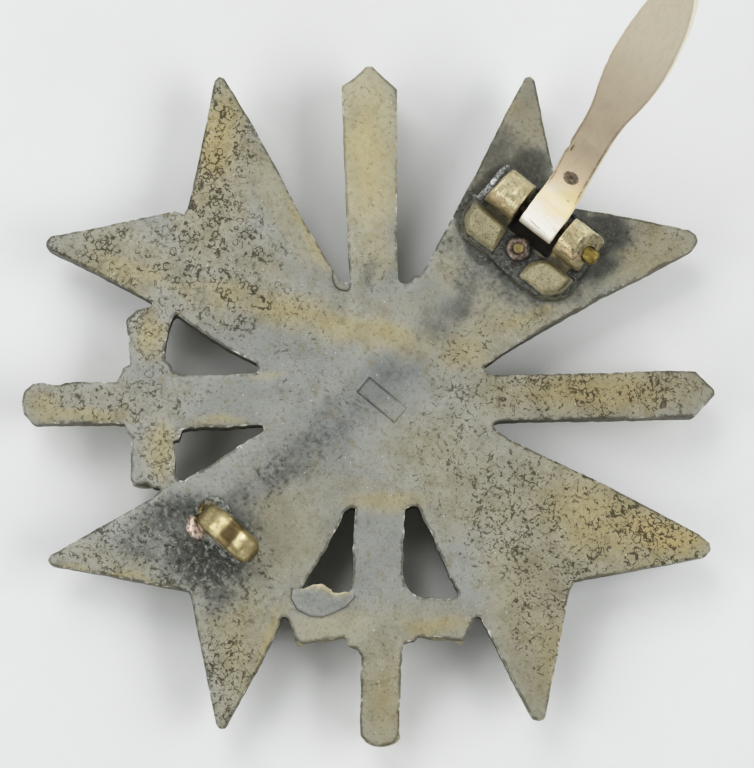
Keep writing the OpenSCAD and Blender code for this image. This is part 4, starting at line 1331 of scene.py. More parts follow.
# painted sheen and shade per part: lighter and darker patches that stand in for how the light falls
base = mz.mix(mz.step(light, 0.5, 1.0, 0, 0.55), base, mz.mix(0.5, base, lin(230, 220, 184)))
base = mz.mix(mz.step(light, 0.5, 0.0, 0, 0.55), base, mz.mix(0.55, base, lin(84, 78, 62)))
rough = mz.add(mz.step(n_fine, 0.3, 0.7, 0.42, 0.60), mz.mul(dark_on, 0.05))
hgt = mz.add(mz.mul(n_fine, 0.6), mz.mul(n_grain, 0.4))
nrm = mz.bump(hgt, 0.75, 0.030)
zinc_mat = mz.finish(Base_Color=base, Roughness=rough, Metallic=mz.step(tt, 0, 1, 0.26, 0.40), Normal=nrm)
cross.data.materials.clear()
cross.data.materials.append(zinc_mat)
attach(cross, "cross")
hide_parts("cross_plate")


# ------------------------------------------------------------------ hinge block
def place_block(V):
    V = np.asarray(V, float)
    q = turn2(V[:, :2], BLOCK_TURN) + np.array(BLOCK_AT)
    return np.column_stack([q, V[:, 2] + BACK + 0.01])


def half_space(P, point, normal):
    n = np.array(normal, float)
    n /= np.linalg.norm(n)
    return (P[0] - point[0]) * n[0] + (P[1] - point[1]) * n[1] + (P[2] - point[2]) * n[2]


def convex(P, planes, k=0.12):
    d = None
    for pt, nr in planes:
        h = half_space(P, pt, nr)
        d = h if d is None else smax(d, h, k)
    return d


def box3(P, lo, hi, r):
    c = [(a + b) / 2 for a, b in zip(lo, hi)]
    s = [(b - a) / 2 - r for a, b in zip(lo, hi)]
    q = [np.abs(P[i] - c[i]) - s[i] for i in range(3)]
    out = np.sqrt(np.maximum(q[0], 0) ** 2 + np.maximum(q[1], 0) ** 2 + np.maximum(q[2], 0) ** 2)
    return out + np.minimum(np.maximum(q[0], np.maximum(q[1], q[2])), 0) - r


H = 0.072
lo = (-6.3, -4.7, -0.22)
P = sgrid(lo, (6.3, 4.3, 4.35), H)
U, W, Z = P
ham = 0.060 * noise3(U, W, Z, 0.9, 101) + 0.055 * noise3(U, W, Z, 0.36, 102)
base2 = poly_dist(U, W, BASE_PTS)
body = smax(base2 + 0.05 * noise2(U, W, 1.4, 103), Z - 0.55, 0.16)
for sgn in (-1, 1):
    u0 = 1.86 if sgn > 0 else 1.84
    u1 = 4.30 + 0.10 * (W + 0.2) if sgn > 0 else 4.42 - 0.105 * (W + 0.5)
    uu = U * sgn
    # knuckle: a round loaf with a slightly flattened top
    near_side = np.where(W < AXLE_V, 1.60 / 1.30, 1.0)
    rad = (np.sqrt(((W - AXLE_V) * near_side) ** 2 + (Z - AXLE_H) ** 2) - 1.60) / near_side
    low = smax(np.maximum(W - AXLE_V - 1.58, AXLE_V - 1.28 - W), Z - AXLE_H, 0.1)
    kn = smin(rad, low, 0.05)
    kn = smax(kn, Z - 3.90, 0.22)
    kn = smax(kn, u0 - uu, 0.14)
    kn = smax(kn, (uu - u1 + (0.74 if sgn > 0 else 0.10) * np.maximum(0, Z - 2.15)) * (0.90 if sgn > 0 else 1.0), 0.20)
    body = smin(body, kn + ham * 0.8, 0.20)
    # wing: a faceted lump in front of the knuckle
    if sgn < 0:
        wing = convex((U, W, Z), [((-2.9, -2.0, 1.55), (0.10, -0.30, 1.0)), ((-1.72, -1.9, 1.0), (1.0, 0.12, 0.45)), ((-3.0, -2.92, 0.9), (0.02, -1.0, 0.55)),
                                  ((-4.85, -1.6, 0.9), (-1.0, -0.1, 0.5)), ((-4.45, -2.5, 0.9), (-0.8, -0.8, 0.5)), ((-3.0, -0.80, 1.1), (0.05, 1.0, 0.55))], 0.20)
    else:
        wing = convex((U, W, Z), [((2.9, -2.1, 1.55), (-0.05, -0.34, 1.0)), ((1.05, -2.4, 0.8), (-1.0, 0.05, 0.60)), ((3.0, -3.12, 0.85), (0.0, -1.0, 0.55)),
                                  ((4.42, -1.6, 0.9), (1.0, -0.1, 0.5)), ((4.05, -2.55, 0.9), (0.75, -0.8, 0.5)), ((3.0, -0.98, 1.1), (0.0, 1.0, 0.45)),
                                  ((1.4, -1.5, 0.9), (-0.8, 0.8, 0.5))], 0.26)
    body = smin(body, smax(wing + ham * 0.35, -Z, 0.05), 0.14)
# web behind the wings, under the knuckles
for sgn in (-1, 1):
    web = box3(P, (1.9 if sgn > 0 else -4.0, -1.0, 0.0), (3.7 if sgn > 0 else -1.9, 0.2, 0.80), 0.15)
    body = smin(body, web + ham, 0.25)
# pocket in front of the barrel, open down to the thin floor
pocket = box3(P, (-1.84, -0.72, 0.22), (1.86, 2.9, 6.0), 0.10)
body = smax(body, -pocket, 0.06)
# thin skirt of solder, with a wavy outline and fat beads at the two ends
skirt = poly_dist(U, W, BASE_PTS) - 0.40 - 0.16 * noise2(U, W, 1.1, 104) - 0.07 * noise2(U, W, 0.4, 105)
skirt = smax(skirt, Z - 0.13 - 0.03 * noise2(U, W, 0.5, 106), 0.07)
solder = skirt
SOLDER_BEADS = [(-5.12, .3, .42, .42), (-5.18, 1.0, .48, .50), (-5.12, 1.7, .46, .46), (-5.02, 2.35, .50, .42), (-4.92, 2.95, .36, .36),
                (4.98, -.6, .36, .34), (5.0, .2, .40, .30), (4.98, 2.6, .34, .30), (-4.7, -2.0, .34, .26), (-2.6, -3.35, .42, .22),
                (-1.2, -3.5, .40, .24), (0.4, -3.6, .44, .24), (2.0, -3.5, .30, .2), (3.9, -2.9, .30, .2)]
SOLDER_BEADS += [(-5.45, .1, .16, .22), (-5.55, .75, .18, .26), (-5.48, 1.35, .15, .3), (-5.35, 2.0, .18, .28), (-5.15, 2.75, .2, .3), (-4.75, 3.3, .2, .26)]
for bu, bv, br, bz in SOLDER_BEADS:
    bz *= 1.4 if bu < -4.6 and bv > 0 else 1.0
    bead = np.sqrt(((U - bu) / br) ** 2 + ((W - bv) / (br * 1.25)) ** 2 + ((Z - 0.05) / bz) ** 2) - 1
    solder = smin(solder, bead * min(br, bz), 0.14)
solder = solder + 0.05 * noise3(U, W, Z, 0.45, 107) * smooth(0.1, 0.5, Z)
solder = smax(solder, -(np.sqrt((U - 0) ** 2 + 0 * W) - 99), 0.01)
whole = smin(body, solder, 0.10)
# file marks across the front of the knuckles, small dents
for sgn in (-1, 1):
    whole = whole + 0.014 * smooth(1.0, 0.0, np.abs(W - 0.25)) * smooth(2.2, 2.8, Z) * (0.5 + 0.5 * np.sin(U * 26 + 1.3 * noise2(U, W, 0.7, 108)))
# bore, rivet hole, flat underside
whole = smax(whole, -(np.sqrt((W - AXLE_V) ** 2 + (Z - AXLE_H) ** 2) - 0.60), 0.04)
whole = smax(whole, -(np.sqrt((U + 0.20) ** 2 + (W + 1.50) ** 2) - 0.55), 0.04)
whole = smax(whole, -Z, 0.03)
V, Q = nets(whole, lo, H)
vu, vw, vz = V.T
base_d = poly_dist(vu, vw, BASE_PTS)
sold = np.clip(smooth(-0.05, 0.12, base_d) * smooth(1.2, 0.7, vz), 0, 1)
# grime and painted shade: near black in the slot, in the valleys, round the rivet, on the knuckles' end faces and at
# the block's foot
grime_and_shade = np.zeros(len(V))
in_slot = smooth(2.0, 1.7, np.abs(vu)) * smooth(-1.00, -0.60, vw) * smooth(2.6, 1.6, vz)
grime_and_shade = np.maximum(grime_and_shade, in_slot)
valley = smooth(0.55, 0.10, np.abs(vw + 0.72)) * smooth(2.0, 1.1, vz) * smooth(1.2, 1.8, np.abs(vu))
grime_and_shade = np.maximum(grime_and_shade, 0.30 * valley)
grime_and_shade = np.maximum(grime_and_shade, 0.8 * smooth(0.62, 0.40, vz) * smooth(0.10, -0.05, base_d))
grime_and_shade = np.maximum(grime_and_shade, 0.75 * smooth(1.5, 1.05, np.hypot(vu + 0.2, vw + 1.5)))
grime_and_shade = np.maximum(grime_and_shade, 0.30 * smooth(-0.02, 0.12, base_d) * smooth(0.55, 0.2, vz))
end_face = smooth(-0.25, 0.05, vu - (4.30 + 0.10 * (vw + 0.2) - 0.74 * np.maximum(0, vz - 2.15))) * smooth(0.9, 1.3, vz)
grime_and_shade = np.maximum(grime_and_shade, 0.55 * end_face)
grime_and_shade = np.maximum(grime_and_shade, 0.35 * smooth(-0.95, -0.80, vw) * smooth(1.25, 0.95, vz) * smooth(1.8, 2.0, np.abs(vu)))
# dark flux stain on the base plate, matching the halo on the casting, and painted shade in the valley between wing and
# knuckle
stain_and_crease_shade = np.maximum(smooth(3.95, 4.25, np.abs(vu + 0.1)), smooth(2.3, 2.55, vw)) * smooth(1.1, 0.7, vz) * smooth(0.15, -0.05, base_d)
stain_and_crease_shade = np.maximum(stain_and_crease_shade, 1.0 * smooth(0.92, 0.72, vz) * smooth(0.12, -0.05, base_d) * (1 - in_slot) * smooth(0.80, 1.15, np.hypot(vu + 0.2, vw + 1.5)))
stain_and_crease_shade = np.maximum(stain_and_crease_shade, 0.75 * valley)
wing_m = smooth(-0.80, -1.10, vw) * smooth(0.5, 0.9, vz)
# silver solder beads at the left end, speckled with painted glints
silver_glint = (0.35 + 0.65 * smooth(-0.1, 0.25, noise2(vu, vw, 0.45, 171))) * smooth(-4.50, -4.75, vu) * smooth(-0.5, 0.1, vw) * smooth(3.4, 3.0, vw) * smooth(0.06, 0.18, vz) * smooth(1.4, 1.1, vz)
skirt_rim = np.exp(-((base_d - 0.36) / 0.08) ** 2) * smooth(0.3, 0.1, vz)
# painted highlight, streaked like rubbed brass, on the front of the knuckle tops
knuckle_sheen = smooth(0.75, 0.1, np.abs(vw - 0.15)) * smooth(2.3, 3.0, vz) * np.where(vu > 0, 1.0, 0.6)
attrs = {"mask": np.stack([sold, np.clip(grime_and_shade * (1 - 0.8 * sold * smooth(0.10, 0.22, vz)), 0, 1), knuckle_sheen], 1), "skirt": skirt_rim, "tin": np.stack([stain_and_crease_shade, silver_glint, wing_m], 1)}
block = add_mesh("hinge_block_worn", place_block(V), Q, attrs, smooth_all=True)

mb = Mat("worn_brass")
s_, g_, sheen_ = mb.split(mb.attr("mask", "Color"))
n1 = mb.noise(1.3, 3, 0.6)
n2 = mb.noise(0.35, 4, 0.65)
n3 = mb.noise(0.12, 2, 0.6)
scr = mb.noise(0.30, 3, 0.6, stretch=((0, 0, math.radians(-6)), (0.16, 1.0, 1.0)))
col = mb.mix(mb.step(n1, 0.35, 0.65), lin(208, 198, 164), lin(184, 172, 138))
col = mb.mix(mb.mul(mb.step(n2, 0.48, 0.66), 0.52), col, lin(116, 108, 82))
col = mb.mix(mb.mul(mb.step(n3, 0.57, 0.70), 0.48), col, lin(66, 60, 46))
col = mb.mix(mb.mul(mb.step(mb.noise(0.20, 2, 0.6, offset=(0.6, 0.1, 0.4)), 0.58, 0.68), 0.34), col, lin(226, 218, 190))
# painted highlight on the knuckles, streaked like rubbed brass
col = mb.mix(mb.mul(sheen_, mb.step(scr, 0.40, 0.62)), col, lin(238, 212, 178))
col = mb.mix(mb.mul(mb.mul(sheen_, mb.step(n3, 0.56, 0.64)), 0.75), col, lin(92, 80, 58))
col = mb.mix(mb.mul(s_, 0.85), col, mb.mix(mb.step(n3, 0.44, 0.66), lin(84, 88, 86), lin(168, 172, 168)))
stain_shade_, glint_, wi_ = mb.split(mb.attr("tin", "Color"))
col = mb.mix(mb.mul(wi_, 0.62), col, mb.mix(mb.step(n2, 0.40, 0.60), lin(106, 106, 94), lin(152, 146, 120)))
col = mb.mix(mb.mul(mb.mul(wi_, mb.step(n3, 0.54, 0.64)), 0.55), col, lin(88, 86, 72))
sk = mb.mul(mb.attr("skirt"), mb.step(mb.noise(0.5, 2, 0.5, offset=(0.2, 0.2, 0.2)), 0.44, 0.60))
col = mb.mix(mb.mul(sk, 0.75), col, lin(196, 200, 198))
# grime and painted shade, near black
grime_shade = mb.step(mb.add(g_, mb.mul(mb.add(n2, -0.5), 0.8)), 0.15, 0.85)
col = mb.mix(mb.mul(grime_shade, 0.96), col, mb.mix(n1, lin(22, 21, 19), lin(58, 54, 48)))
# dark flux stain, and painted shade in the valley
col = mb.mix(mb.mul(stain_shade_, 0.93), col, mb.mix(mb.step(n2, 0.38, 0.60), lin(30, 33, 35), lin(82, 86, 86)))
col = mb.mix(mb.mul(mb.mul(stain_shade_, mb.step(n3, 0.60, 0.70)), 0.6), col, lin(168, 170, 164))
# grey solder with painted near-white glints
col = mb.mix(mb.mul(glint_, 0.95), col, mb.mix(mb.step(n3, 0.40, 0.52), lin(104, 108, 112), lin(250, 252, 252)))
rgh = mb.mix(s_, mb.mix(sheen_, (0.44, 0.44, 0.44), (0.34, 0.34, 0.34)), (0.24, 0.24, 0.24))
rgh = mb.add(mb.mul(rgh, 1.0), mb.add(mb.mul(grime_shade, 0.25), mb.mul(mb.math("MAXIMUM", stain_shade_, wi_), 0.14)))
hb = mb.add(mb.mul(n2, 0.7), mb.mul(n3, 0.3))
block.data.materials.append(mb.finish(Base_Color=col, Metallic=mb.mul(mb.step(grime_shade, 0.1, 0.9, 0.58, 0.15), mb.step(mb.add(mb.add(stain_shade_, glint_), mb.mul(wi_, 0.55)), 0.0, 1.0, 1.0, 0.35)), Roughness=mb.math("MINIMUM", rgh, 0.7), Normal=mb.bump(hb, 0.58, 0.050)))
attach(block, "cross")
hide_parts("hinge_block")

# ------------------------------------------------------------------ rivet
rings, ra = [], []
RIVET = [(0.0, .10), (.16, .115), (.30, .12), (.37, .14), (.43, .22), (.50, .30), (.62, .335), (.74, .31), (.86, .24), (.945, .12), (.95, .03), (.90, 0.0), (.5, -0.005), (.5, -1.95), (.44, -2.0), (0.0, -2.0)]
nr = 48
for r, z in RIVET[1:-1]:
    a = np.linspace(0, 2 * math.pi, nr, endpoint=False)
    rr = r * (1 + (0.05 * noise2(np.cos(a) * 2, np.sin(a) * 2, 0.8, 111) if z > -0.01 else 0))
    zz = z + (0.035 * noise2(np.cos(a) * r * 3, np.sin(a) * r * 3, 0.5, 112) if z > 0.02 else 0)
    rings.append(np.column_stack([-0.20 + rr * np.cos(a), -1.50 + rr * np.sin(a), np.full(nr, 0.0) + zz + 0.57]))
V, F = loft(np.array(rings))
V[:, 2] += 0.0
core = (np.hypot(V[:, 0] + 0.20, V[:, 1] + 1.50) < 0.42).astype(float)
gapd = np.exp(-((np.hypot(V[:, 0] + 0.20, V[:, 1] + 1.50) - 0.42) / 0.05) ** 2)
outer = smooth(0.80, 0.95, np.hypot(V[:, 0] + 0.20, V[:, 1] + 1.50))
rivet = add_mesh("block_rivet_head", place_block(V), [f[::-1] for f in F], {"mask": np.stack([core, np.clip(gapd + outer * .7, 0, 1), core * 0], 1)}, smooth_all=True)
mr = Mat("copper_rivet")
c_, d_, _x = mr.split(mr.attr("mask", "Color"))
n1 = mr.noise(0.5, 3, 0.6)
n2 = mr.noise(0.16, 3, 0.6)
col = mr.mix(mr.step(n1, 0.4, 0.62), lin(86, 79, 74), lin(142, 128, 118))
col = mr.mix(c_, col, mr.mix(mr.step(n2, 0.4, 0.6), lin(156, 144, 106), lin(128, 116, 84)))
dk = mr.step(mr.add(d_, mr.mul(mr.add(n1, -0.5), 1.2)), 0.25, 0.8)
col = mr.mix(mr.mul(dk, 0.45), col, lin(70, 60, 56))
rivet.data.materials.append(mr.finish(Base_Color=col, Metallic=0.5, Roughness=mr.step(n2, 0.3, 0.7, 0.34, 0.5), Normal=mr.bump(mr.add(n1, n2), 0.6, 0.04)))
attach(rivet, "cross")
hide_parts("block_rivet")

# ------------------------------------------------------------------ axle
AX = [(-4.22, .0), (-4.22, .38), (-4.18, .48), (-4.08, .54), (-3.2, .545), (-1.7, .545), (0, .545), (1.7, .545), (2.9, .545), (3.15, .545), (4.35, .55), (4.70, .555), (4.83, .53), (4.92, .46), (4.98, .35), (5.01, .20), (5.02, .10), (5.02, 0.0)]
rings = []
for u, r in AX[1:-1]:
    a = np.linspace(0, 2 * math.pi, 40, endpoint=False)
    rr = r * (1 + 0.02 * noise2(np.cos(a) * 2 + u, np.sin(a) * 2, 0.9, 121))
    rings.append(np.column_stack([np.full(40, u) + 0.02 * noise2(np.cos(a) * r * 4, np.sin(a) * r * 4, 0.6, 122), AXLE_V + rr * np.cos(a), AXLE_H + rr * np.sin(a)]))
V, F = loft(np.array(rings))
endm = smooth(3.0, 3.1, V[:, 0])
axle = add_mesh("hinge_axle_pin", place_block(V), [f for f in F], {"mask": np.stack([endm, 1 - endm, endm * 0], 1)}, flat_deg=50)
ma = Mat("axle_brass")
e_m, gap_shade_m, _x = ma.split(ma.attr("mask", "Color"))
n1 = ma.noise(0.6, 3, 0.6)
n2 = ma.noise(0.18, 3, 0.6)
col = ma.mix(ma.step(n1, 0.35, 0.65), lin(148, 132, 78), lin(102, 90, 52))
col = ma.mix(ma.mul(ma.step(n2, 0.55, 0.72), 0.6), col, lin(96, 80, 46))
# painted shade: the axle is near black where it lies in the gap between the knuckles, all but its worn end
col = ma.mix(ma.mul(gap_shade_m, 0.92), col, lin(34, 30, 24))
axle.data.materials.append(ma.finish(Base_Color=col, Metallic=0.55, Roughness=ma.step(n2, 0.3, 0.7, 0.38, 0.52), Normal=ma.bump(ma.add(n1, n2), 0.5, 0.03)))
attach(axle, "cross")
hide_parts("hinge_axle")

# ------------------------------------------------------------------ blade of the pin
LEAF = [(-0.6, 1.45), (1.6, 1.43), (3.4, 1.34), (5.0, 1.32), (7.0, 1.34), (10.0, 1.34), (12.5, 1.31), (14.5, 1.46), (16.5, 1.76), (18.5, 1.99), (20.5, 2.08),
        (22.5, 2.07), (25.0, 1.94), (27.5, 1.68), (29.5, 1.34), (31.0, .95), (32.0, .55), (34.5, .36), (36.0, .08)]
BOW = 115.0


def leaf_half(s):
    xs = [r[0] for r in LEAF]
    ys = [r[1] for r in LEAF]
    raw = np.interp([s - .8, s - .4, s, s + .4, s + .8], xs, ys)
    return float(raw.mean()) if s < 34 else float(np.interp(s, xs, ys))


def heading(deg):
    return np.array([math.cos(math.radians(deg)), math.sin(math.radians(deg))])


OPEN, LIFT, FLAT, BEND_R, RISE, JOIN, MID_R = 55.0, 12.0, 1.1, 2.2, 74.0, 11.0, 0.90


def bow_at(s):
    y, z = BOW * math.sin(s / BOW), MID_R + BOW * (1 - math.cos(s / BOW))
    return y * heading(OPEN) + z * heading(OPEN + 90)


# middle of the sheet from the top of its roll: nearly flat, then bent up, then easing into the bow
path, slopes = [], []
for k in range(8):
    path.append(MID_R * heading(LIFT + 90) + FLAT * k / 8 * heading(LIFT))
    slopes.append(LIFT)
start = MID_R * heading(LIFT + 90) + FLAT * heading(LIFT)
for k in range(24):
    dir_ = LIFT + (RISE - LIFT) * k / 24
    path.append(start + BEND_R * (heading(LIFT + 90) - heading(dir_ + 90)))
    slopes.append(dir_)
e0 = start + BEND_R * (heading(LIFT + 90) - heading(RISE + 90))
e3 = bow_at(JOIN)
e1, e2 = e0 + 3.2 * heading(RISE), e3 - 1.8 * heading(OPEN + math.degrees(JOIN / BOW))
for k in range(33):
    t_ = k / 32
    path.append((1 - t_) ** 3 * e0 + 3 * (1 - t_) ** 2 * t_ * e1 + 3 * (1 - t_) * t_ * t_ * e2 + t_ ** 3 * e3)
    way = (1 - t_) ** 2 * (e1 - e0) + 2 * (1 - t_) * t_ * (e2 - e1) + t_ * t_ * (e3 - e2)
    slopes.append(math.degrees(math.atan2(way[1], way[0])))
path, slopes = np.array(path), np.array(slopes)
run = np.r_[0, np.cumsum(np.hypot(*(path[1:] - path[:-1]).T))]
run *= JOIN / run[-1]


def blade_frame(s):
    """Middle of the sheet beyond and above the axle, its normal and its thickness, at s along the open blade."""
    if s >= 0:
        t = 0.62 + 0.18 * float(smooth(0, 2.2, s))
        if s > 31:
            t *= 1 - 0.55 * float(smooth(31, 36, s))
        if s >= JOIN:
            return bow_at(s), heading(OPEN + math.degrees(s / BOW) + 90), t
        mid = np.array([np.interp(s, run, path[:, 0]), np.interp(s, run, path[:, 1])])
        return mid, heading(float(np.interp(s, run, slopes)) + 90), t
    nrm_ = heading(LIFT + 90 + math.degrees(-s / MID_R))
    return MID_R * nrm_, nrm_, 0.62


s_all = np.concatenate([np.linspace(-math.radians(286) * 0.90, -0.02, 56), np.linspace(0.05, 31, 250), np.linspace(31.12, 35.95, 40)])
SEC_U = np.array([-1, -.93, -.86, -.77, -.68, -.57, -.46, -.35, -.24, -.13, -.02, .09, .20, .31, .42, .53, .64, .75, .86, .93, 1])
rings, sv, lv, fv = [], [], [], []
for s in s_all:
    mid, nrm2, t = blade_frame(s)
    w = leaf_half(s) if s > -0.3 else 1.46
    e_r = min(0.13, w * 0.6, t * 0.45)
    top = []
    wi = w - e_r
    for u in SEC_U:
        top.append((u * wi, t / 2))
    right = [(wi + e_r * math.sin(a), t / 2 - e_r * (1 - math.cos(a))) for a in (math.radians(35), math.radians(70))] + [(w, t * .18), (w, -t * .18)] + \
            [(wi + e_r * math.sin(a), -t / 2 + e_r * (1 - math.cos(a))) for a in (math.radians(70), math.radians(35))]
    bot = [(u * wi, -t / 2) for u in SEC_U[::-1]]
    left = [(-x, -y) for x, y in right]
    sec = np.array(top + right + bot + left)
    # small dents, a slight waviness and the burr's nick on the left edge
    nick = 0.16 * math.exp(-((s - 8.9) / 0.45) ** 2)
    sec[:, 0] = np.where(sec[:, 0] < -w * 0.8, sec[:, 0] + nick, sec[:, 0])
    edge_w = 0.018 * noise2(np.array([s]), np.array([0.0]), 0.7, 131)[0]
    sec[:, 0] = np.where(np.abs(sec[:, 0]) > w * 0.8, sec[:, 0] * (1 + edge_w / w), sec[:, 0])
    ring = []
    for x, h in sec:
        hh = h
        if h > 0.9 * t / 2 and s > 0:
            hh -= 0.12 * math.exp(-(((s - 5.55) / 0.50) ** 2 + ((x - 0.05) / 0.40) ** 2))
            hh -= 0.05 * math.exp(-(((s - 2.5) / 0.14) ** 2 + ((x - 0.70) / 0.18) ** 2))
            hh -= 0.03 * math.exp(-(((s - 1.05) / 0.10) ** 2 + ((x + 0.75) / 0.10) ** 2))
            hh += 0.012 * float(noise2(np.array([s]), np.array([x]), 2.2, 132)[0])
            hh -= 0.03 * (x / max(w, 0.1)) ** 2
        p = mid + nrm2 * hh
        ring.append((x, p[0], p[1]))
    rings.append(ring)
    sv.append(np.full(len(sec), s))
    lv.append(sec[:, 0])
    fv.append((sec[:, 1] > 0).astype(float))
rings = np.array(rings)
V, F = loft(rings)
a = math.radians(OPEN)
V[:, 1], V[:, 2] = V[:, 1] * math.cos(a) + V[:, 2] * math.sin(a), V[:, 2] * math.cos(a) - V[:, 1] * math.sin(a)
sv = np.concatenate(sv + [[s_all[0], s_all[-1]]])
lv = np.concatenate(lv + [[0, 0]])
fv = np.concatenate(fv + [[0, 0]])
# lean in its slot, then turn up by the open angle about the axle
V[:, :2] = np.where((sv > -0.01)[:, None], turn2(V[:, :2], 0.8), V[:, :2])
y, z = V[:, 1] * math.cos(a) - V[:, 2] * math.sin(a), V[:, 1] * math.sin(a) + V[:, 2] * math.cos(a)
V[:, 1], V[:, 2] = y, z
blade_V = V + np.array([0.08, AXLE_V, AXLE_H])
polish = 1 - smooth(2.9, 5.6, sv - 0.70 * lv)
pr = np.sqrt(((sv - 5.55 - 0.25 * (lv - 0.05)) / 0.95) ** 2 + ((lv - 0.05) / 0.62) ** 2)
spot = np.maximum(0.72 * np.exp(-((pr - 0.88) / 0.16) ** 2), 1.2 * np.exp(-(pr / 0.42) ** 2))
spot = np.maximum(spot, 0.66 * (1 - smooth(0.78, 1.0, pr)))
spot = np.maximum(spot, 0.75 * np.exp(-(((sv - 2.5) / 0.13) ** 2 + ((lv - 0.70) / 0.17) ** 2)))
spot = np.maximum(spot, 0.5 * np.exp(-(((sv - 1.05) / 0.09) ** 2 + ((lv + 0.75) / 0.09) ** 2)))
spot = np.maximum(spot, 0.8 * np.exp(-(((sv - 9.05) / 0.55) ** 2 + ((lv + 0.95) / 0.12) ** 2)))
spot = spot * fv
wv = np.array([leaf_half(s) if s > -0.3 else 1.46 for s in sv])
edge = smooth(0.97, 0.995, np.abs(lv) / np.maximum(wv, 0.05))
# painted shade along the arris, just inside both edges
arris = np.exp(-((np.abs(lv) - wv + 0.12) / 0.06) ** 2) * fv * smooth(2.2, 3.4, sv) * (1 - 0.8 * smooth(9, 17, sv))
# the heel that stands on the base when the pin is open
heel2 = [(0.34, -1.12), (0.92, -0.84), (1.00, -1.20), (1.00, -1.68), (0.95, -1.74), (0.68, -1.74), (0.62, -1.66), (0.50, -1.30)]
rr_ = []
for u in (-1.56, -1.50, 0.0, 1.50, 1.56):
    k_ = 1.0 if abs(u) < 1.55 else 0.88
    c_x, c_y = 0.75, -1.3
    rr_.append([(u, c_x + (p[0] - c_x) * k_, c_y + (p[1] - c_y) * k_) for p in heel2])
Vh, Fh = loft(np.array(rr_))
Vh = Vh + np.array([0.08, AXLE_V, AXLE_H])
bl_parts = [(place_block(blade_V), F, {"mask": np.stack([polish, spot, edge], 1), "arris": arris, "along": sv, "across": 0.5 + 0.5 * lv / np.maximum(wv, 0.05)}),
            (place_block(Vh), [f[::-1] for f in Fh], {"mask": np.stack([np.full(len(Vh), .3), np.full(len(Vh), .4), np.zeros(len(Vh))], 1), "arris": np.zeros(len(Vh)), "along": np.zeros(len(Vh)), "across": np.full(len(Vh), 0.5)})]
V, F, A = join(bl_parts)
blade = add_mesh("pin_blade_sprung", V, F, A, flat_deg=55)
mp = Mat("nickel_silver")
p_, sp_, ed_ = mp.split(mp.attr("mask", "Color"))
al_ = mp.attr("along")
ac_ = mp.attr("across")
brush = mp.noise(0.22, 3, 0.6, stretch=((0, 0, math.radians(-6)), (1.0, 0.18, 0.18)))
roll = mp.noise(0.30, 3, 0.6, stretch=((0, 0, math.radians(-6)), (0.08, 1.0, 1.0)))
n1 = mp.noise(2.2, 3, 0.55)
n2 = mp.noise(0.45, 4, 0.65)
col = mp.mix(mp.step(n1, 0.35, 0.65), lin(192, 178, 158), lin(184, 171, 152))
col = mp.mix(mp.mul(mp.step(n2, 0.52, 0.72), 0.30), col, lin(178, 160, 138))
# lighter towards the foot of the sheet: pale metal with a painted sheen
col = mp.mix(mp.step(al_, 4.5, 12.5, 0.95, 0.0), col, lin(246, 226, 200))
col = mp.mix(mp.step(al_, 12, 27, 0, 0.75), col, lin(230, 221, 200))
col = mp.mix(mp.mul(mp.step(brush, 0.45, 0.70), 0.14), col, lin(160, 144, 126))
# polished zone by the roll: pale cream metal, with a painted white highlight over the roll, painted dark reflection
# streaks along it and painted shade on its underside
roll_polish_and_sheen = mp.mix(mp.step(n1, 0.36, 0.60), lin(246, 232, 206), lin(248, 226, 178))
roll_polish_and_sheen = mp.mix(mp.step(al_, 1.2, -0.2), roll_polish_and_sheen, lin(254, 248, 236))
roll_polish_and_sheen = mp.mix(mp.mul(mp.step(roll, 0.52, 0.60), mp.step(al_, 0.2, -0.5, 0.05, 0.80)), roll_polish_and_sheen, lin(128, 118, 104))
roll_polish_and_sheen = mp.mix(mp.step(al_, -0.85, -1.30, 0.0, 0.8), roll_polish_and_sheen, lin(176, 158, 134))
col = mp.mix(p_, col, roll_polish_and_sheen)
spn = mp.step(mp.add(sp_, mp.mul(mp.add(n2, -0.5), 0.7)), 0.22, 0.75)
col = mp.mix(mp.mul(spn, 0.92), col, mp.mix(mp.step(sp_, 0.75, 1.1), lin(84, 74, 68), lin(40, 34, 32)))
# painted light on the right side wall, painted shade on the left edge
right = mp.mul(ed_, mp.step(ac_, 0.6, 0.9))
left = mp.mul(ed_, mp.step(ac_, 0.4, 0.1))
col = mp.mix(mp.mul(right, 0.75), col, lin(246, 238, 212))
col = mp.mix(mp.mul(mp.attr("arris"), mp.step(n2, 0.62, 0.42, 0.25, 0.80)), col, lin(110, 96, 76))
col = mp.mix(mp.mul(mp.mul(left, mp.step(n2, 0.46, 0.60)), 0.60), col, lin(132, 116, 94))
rgh = mp.add(mp.add(mp.step(p_, 0, 1, 0.38, 0.30), mp.step(al_, 0.6, -0.2, 0.0, -0.10)), mp.step(brush, 0.3, 0.7, -0.03, 0.06))
hp = mp.add(mp.mul(brush, 0.6), mp.mul(n2, 0.3))
hp = mp.add(hp, mp.mul(mp.mul(roll, p_), 0.25))
blade.data.materials.append(mp.finish(Base_Color=col, Metallic=mp.add(mp.step(p_, 0, 1, 0.50, 0.16), mp.add(mp.step(al_, -0.30, -0.90, 0.0, 0.50), mp.step(al_, 11.0, 6.0, 0.0, -0.15))), Roughness=rgh,
                                      Normal=mp.bump(hp, 0.25, 0.02)))
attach(blade, "pin")
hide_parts("pin_blade")

